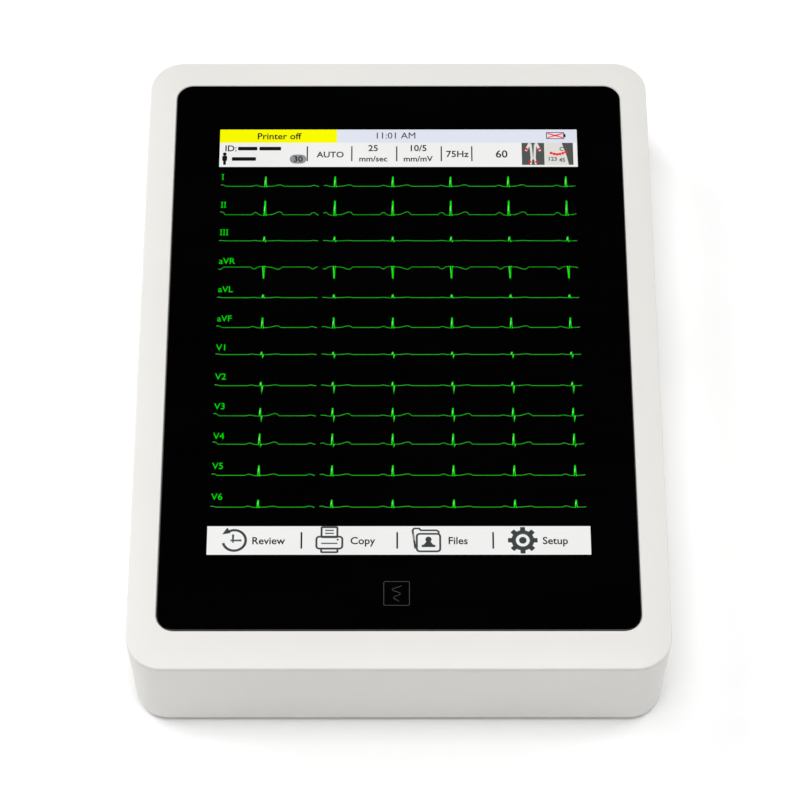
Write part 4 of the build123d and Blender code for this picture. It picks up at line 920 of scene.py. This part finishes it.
# %% Folder
FOLDER_X = 13.3
CARD_X = FOLDER_X + 0.9
folder_back = [
    (-5.4, -4.4), (-6.7, 5.3), (-6.0, 6.4), (-3.6, 6.4), (-2.8, 5.4), (4.9, 5.4), (5.8, 4.6),
    (5.8, 3.4),
]
shoulders = [(-2.4, -2.6), (2.4, -2.6), (0.7, -0.2), (-0.7, -0.2)]
card_outline = round_box(11.2, 9.4, 1.4)
add_stroke(symbols, card_outline, SYMBOL_LINE, MARK, CARD_X, toolbar_y - 1.2, closed=True)
add_stroke(symbols, folder_back, SYMBOL_LINE, MARK, FOLDER_X, toolbar_y)
add_panel(symbols, CARD_X, toolbar_y - 3.0, 6.6, 1.2, MARK, 0.4)
add_shape(symbols, shoulders, OVER, CARD_X, toolbar_y)
add_disc(symbols, CARD_X, toolbar_y + 0.5, 1.5, MARK)
print("folder at", FOLDER_X)

# %% Gear wheel
GEAR_X = 59.4
TEETH = 8
TOOTH_RADIUS = 6.0
gear_ring = arc(4.4, 0, 360, 32)[:-1]
add_stroke(symbols, gear_ring, 2.2, MARK, GEAR_X, toolbar_y, closed=True)
for tooth in range(TEETH):
    turn = 2 * math.pi * tooth / TEETH
    tooth_x = GEAR_X + TOOTH_RADIUS * math.cos(turn)
    tooth_y = toolbar_y + TOOTH_RADIUS * math.sin(turn)
    add_panel(symbols, tooth_x, tooth_y, 2.2, 2.4, OVER, 0.3, turn)
add_disc(symbols, GEAR_X, toolbar_y, 1.8, MARK)
finish_drawing("toolbar_symbols", symbols, symbol_slate)

# %% [markdown]
# ## Touch key
# Under the display a small square with a wavy trace marks the touch key that starts a
# recording. It is printed in dark grey, so it reflects a little light and does not glow.
# The wave is a cosine that narrows on its way down.

# %% Touch key
KEY_SIZE = 12.2
KEY_LINE = 0.36
KEY_SHIFT_X = -1.1
KEY_SHIFT_Y = 2.3
WAVE_STEPS = 28
WAVE_LENGTH = 8.4
WAVE_HALF_TURNS = 3.85
key_ink = new_finish("key_mark_grey", 0.35)
key_speckle = pattern(key_ink, "Noise", 500.0)
tint(key_ink, key_speckle, tone(34, 35, 33), tone(46, 47, 45))
key_low, key_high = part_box("key_board")
key_x = (key_low.x + key_high.x) / 2 / MM + KEY_SHIFT_X
key_y = (key_low.y + key_high.y) / 2 / MM + KEY_SHIFT_Y
wave = []
for step in range(WAVE_STEPS + 1):
    down = step / WAVE_STEPS
    swing = (2.4 - 1.2 * down) * math.cos(WAVE_HALF_TURNS * math.pi * down)
    wave.append((swing, WAVE_LENGTH / 2 - WAVE_LENGTH * down))
key = bmesh.new()
key_outline = round_box(KEY_SIZE, KEY_SIZE + 0.4, 0.8)
add_stroke(key, key_outline, KEY_LINE, BASE, key_x, key_y, closed=True)
add_stroke(key, wave, KEY_LINE, BASE, key_x, key_y)
finish_drawing("touch_key_mark", key, key_ink)

# %% [markdown]
# ## Power symbol and painted slot shade
# The power button carries the common ring-and-bar symbol, pad printed in white on its
# cap. The two screws of the battery door have cross slots, and the shade in them is
# painted as dark crosses. Both are drawn flat like the screen, moved to the CAD surface,
# and ride on the body they sit on.

# %% Power symbol
PRINT_LINE = 0.55
PRINT_LIFT = 0.005
mark_ink = new_finish("pad_printed_mark", 0.6)
mark_speckle = pattern(mark_ink, "Noise", 1200.0)
tint(mark_ink, mark_speckle, tone(232, 232, 232), tone(246, 246, 246))
cap_low, cap_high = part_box("power_button")
cap_middle = (cap_low + cap_high) / 2 / MM
symbol = bmesh.new()
add_stroke(symbol, arc(2.6, 125, 415), PRINT_LINE)
add_stroke(symbol, [(0, 1.2), (0, 3.5)], PRINT_LINE)
to_origin = Matrix.Translation((0, 0, -layer_height(BASE)))
stand_up = Matrix.Rotation(math.pi / 2, 4, "Z") @ Matrix.Rotation(math.pi / 2, 4, "X")
to_cap = Matrix.Translation((cap_high.x / MM + PRINT_LIFT, cap_middle.y, cap_middle.z))
bmesh.ops.transform(symbol, matrix=to_cap @ stand_up @ to_origin, verts=symbol.verts)
finish_drawing("power_button_symbol", symbol, mark_ink, "power_button")

# %% Painted shade in the cross slots
HEAD_RADIUS = 1.7
SLOT_LENGTH = 2.0
SLOT_WIDTH = 0.5
SLOT_LIFT = 0.01
# The dark grey crosses are painted shade that stands in for the recessed cross slots.
painted_slot_shade = new_finish("dark_screw_slot", 0.7)
tint(painted_slot_shade, pattern(painted_slot_shade, "Noise", 900.0), tone(30, 30, 31), tone(46, 46, 48))
screws_low, screws_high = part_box("battery_door_screws")
screws_y = (screws_low.y + screws_high.y) / 2 / MM
shaded_crosses = bmesh.new()
for screw_x in (screws_low.x / MM + HEAD_RADIUS, screws_high.x / MM - HEAD_RADIUS):
    for width, height in ((SLOT_LENGTH, SLOT_WIDTH), (SLOT_WIDTH, SLOT_LENGTH)):
        add_panel(shaded_crosses, screw_x, screws_y, width, height, BASE, 0.1)
drop = screws_low.z / MM - SLOT_LIFT - layer_height(BASE)
bmesh.ops.translate(shaded_crosses, vec=(0, 0, drop), verts=shaded_crosses.verts)
finish_drawing("battery_door_painted_slot_shade", shaded_crosses, painted_slot_shade)

# %% [markdown]
# ## Contacts in the sockets
# A socket reads as real once its metal shows: fifteen gold sleeves in the patient
# connector, four springs on each USB tongue and eight wires in the network socket. Each
# kind is one small shape repeated at its pitch. A sleeve is a ring with a flared rim,
# given its thickness at the end.

# %% Patient contacts
SLEEVE_PITCH = 2.77
ROW_RISE = 1.42
SLEEVE_RADIUS = 0.36
RIM_FLARE = 1.5
SLEEVE_WALL = 0.25
SLEEVE_DEPTH = 0.5
socket_low, socket_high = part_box("patient_connector")
sleeve_x = socket_high.x / MM - SLEEVE_DEPTH
socket_y = (socket_low.y + socket_high.y) / 2 / MM
socket_z = (socket_low.z + socket_high.z) / 2 / MM
face_out = Matrix.Rotation(math.pi / 2, 4, "Y")
sleeves = bmesh.new()
for row, count in ((1, 8), (-1, 7)):
    for step in range(count):
        sleeve_y = socket_y + (step - (count - 1) / 2) * SLEEVE_PITCH
        home = Matrix.Translation((sleeve_x, sleeve_y, socket_z + row * ROW_RISE))
        circle = bmesh.ops.create_circle(sleeves, radius=SLEEVE_RADIUS, segments=12)["verts"]
        edges = [edge for edge in sleeves.edges if edge.verts[0] in circle]
        flared = bmesh.ops.extrude_edge_only(sleeves, edges=edges)["geom"]
        rim = [item for item in flared if isinstance(item, bmesh.types.BMVert)]
        bmesh.ops.scale(sleeves, vec=(RIM_FLARE, RIM_FLARE, 1), verts=rim)
        bmesh.ops.transform(sleeves, matrix=home @ face_out, verts=circle + rim)
bmesh.ops.solidify(sleeves, geom=sleeves.faces[:], thickness=SLEEVE_WALL)
finish_drawing("patient_contact_sleeves", sleeves, contact_gold)

# %% USB tongues and springs
USB_MIDDLE = 7.25
TONGUE_SIZE = (8.2, 11.3, 2.0)
SPRING_SIZE = (6.4, 1.0, 0.16)
SPRING_PITCH = 2.3


def add_block(drawing, middle, size):
    """Closed box about a middle point."""
    block = bmesh.ops.create_cube(drawing, size=1.0)["verts"]
    bmesh.ops.scale(drawing, vec=size, verts=block)
    bmesh.ops.translate(drawing, vec=middle, verts=block)


usb_low, usb_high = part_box("usb_sockets")
usb_face = usb_high.x / MM
usb_z = (usb_low.z + usb_high.z) / 2 / MM
tongues = bmesh.new()
springs = bmesh.new()
for usb_y in (usb_low.y / MM + USB_MIDDLE, usb_high.y / MM - USB_MIDDLE):
    add_block(tongues, (usb_face - 5.4, usb_y, usb_z + 0.9), TONGUE_SIZE)
    for contact in range(4):
        spring_y = usb_y + (contact - 1.5) * SPRING_PITCH
        add_block(springs, (usb_face - 4.9, spring_y, usb_z - 0.15), SPRING_SIZE)
finish_drawing("usb_tongues", tongues, socket_black)

# %% Network wires
WIRE_RADIUS = 0.22
WIRE_LENGTH = 9.0
WIRE_PITCH = 1.02
WIRE_LEAN = math.radians(72)
lan_low, lan_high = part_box("lan_socket")
lan_x = lan_high.x / MM - 6.5
lan_y = (lan_low.y + lan_high.y) / 2 / MM
lan_z = (lan_low.z + lan_high.z) / 2 / MM - 2.4
lean = Matrix.Rotation(WIRE_LEAN, 4, "Y")
for wire in range(8):
    rod = bmesh.ops.create_cone(
        springs, cap_ends=True, segments=8, radius1=WIRE_RADIUS, radius2=WIRE_RADIUS,
        depth=WIRE_LENGTH,
    )["verts"]
    home = Matrix.Translation((lan_x, lan_y + (wire - 3.5) * WIRE_PITCH, lan_z))
    bmesh.ops.transform(springs, matrix=home @ lean, verts=rod)
finish_drawing("socket_contact_springs", springs, contact_gold)

# %% [markdown]
# ## Studio
# The machine lies on a plain pale floor that curves up into a low wall, made by spinning
# one profile round the middle. The wall stays low, so the black glass, seen from above,
# mirrors only the dark over it and stays black. The floor lies a little under the feet,
# so the two never share a plane.

# %% Floor
FLOOR_RADIUS = 2.6
WALL_CURVE = 0.6
CURVE_STEPS = 8
WALL_TOP = 1.7
FLOOR_DROP = 0.0002
FLOOR_PALE = (0.965, 0.965, 0.965, 1)
FLOOR_PALER = (0.98, 0.98, 0.98, 1)
studio_white = new_finish("studio_floor_white", 0.9, settings={"Specular IOR Level": 0.1})
studio_drift = pattern(studio_white, "Noise", 1.5)
tint(studio_white, studio_drift, FLOOR_PALE, FLOOR_PALER)
sweep = bmesh.new()
profile = [Vector((0, 0, 0)), Vector((FLOOR_RADIUS, 0, 0))]
for step in range(1, CURVE_STEPS + 1):
    turn = math.pi / 2 * step / CURVE_STEPS
    out = FLOOR_RADIUS + WALL_CURVE * math.sin(turn)
    profile.append(Vector((out, 0, WALL_CURVE * (1 - math.cos(turn)))))
profile.append(Vector((FLOOR_RADIUS + WALL_CURVE, 0, WALL_TOP)))
corners = [sweep.verts.new(point) for point in profile]
rib = [sweep.edges.new(pair) for pair in zip(corners, corners[1:])]
bmesh.ops.spin(
    sweep, geom=corners + rib, cent=(0, 0, 0), axis=(0, 0, 1), steps=72, angle=2 * math.pi,
    use_merge=True,
)
bmesh.ops.remove_doubles(sweep, verts=sweep.verts, dist=0.0001)
floor_mesh = bpy.data.meshes.new("studio_floor")
sweep.to_mesh(floor_mesh)
sweep.free()
floor_mesh.materials.append(studio_white)
for polygon in floor_mesh.polygons:
    polygon.use_smooth = True
studio_floor = bpy.data.objects.new("studio_floor", floor_mesh)
studio_floor.location.z = -FLOOR_DROP
scene.collection.objects.link(studio_floor)
print("floor out to", FLOOR_RADIUS, "m, wall", WALL_TOP, "m high")

# %% [markdown]
# ## Lights
# Soft boxes light the machine from behind on the left and right and from overhead, and
# two small ones low in front pick out the round crest. All of them face its middle. Each
# row gives a place and a side in metres and a power in watts.

# %% Lights
SOFT_BOXES = (
    ("left_soft_box", (-1.5, 0.7, 1.5), 1.3, 22.0),
    ("right_soft_box", (1.6, 0.7, 1.5), 1.2, 12.0),
    ("top_soft_box", (0.0, -0.42, 2.6), 1.5, 49.0),
    ("left_edge_box", (-1.70, -0.73, 0.66), 0.40, 3.0),
    ("right_edge_box", (1.70, -0.73, 0.66), 0.40, 1.6),
)
SURROUND_GREY = (0.002, 0.002, 0.002, 1.0)
machine_middle = (cad_low + cad_high) / 2


def soft_box(name, place_at, side, power):
    """Square area light that faces the middle of the machine."""
    lamp = bpy.data.lights.new(name, "AREA")
    lamp.shape = "SQUARE"
    lamp.size = side
    lamp.energy = power
    light = bpy.data.objects.new(name, lamp)
    light.location = place_at
    towards = machine_middle - Vector(place_at)
    light.rotation_euler = towards.to_track_quat("-Z", "Y").to_euler()
    scene.collection.objects.link(light)


for box_name, place_at, side, power in SOFT_BOXES:
    soft_box(box_name, place_at, side, power)
if scene.world is None:
    scene.world = bpy.data.worlds.new("studio_dark")
scene.world.use_nodes = True
background = scene.world.node_tree.nodes["Background"]
background.inputs["Color"].default_value = SURROUND_GREY
background.inputs["Strength"].default_value = 1.0
scene.view_settings.view_transform = "Standard"
scene.view_settings.look = "None"
print(len(SOFT_BOXES), "soft boxes")

# %% [markdown]
# ## Camera
# The camera stands on the user's side and looks down at the glass at about sixty
# degrees, and a long lens keeps the perspective mild. Its stand is a place in metres,
# and three turns aim it: up from straight down, sideways, and a slight roll.

# %% Camera
LENS = 141.58
SENSOR = 36.0
STAND = (-0.00167, -0.79325, 1.40819)
TILT_UP = math.radians(29.6)
TURN = math.radians(-0.172)
ROLL = math.radians(0.13)
camera_data = bpy.data.cameras.new("main_camera")
camera_data.lens = LENS
camera_data.sensor_width = SENSOR
camera_data.clip_start = 0.05
camera = bpy.data.objects.new("main_camera", camera_data)
aim = Matrix.Rotation(TURN, 4, "Z") @ Matrix.Rotation(TILT_UP, 4, "X")
camera.matrix_world = Matrix.Translation(STAND) @ aim @ Matrix.Rotation(ROLL, 4, "Z")
scene.collection.objects.link(camera)
scene.camera = camera
print("camera is", round(camera.matrix_world.translation.length, 2), "m away")
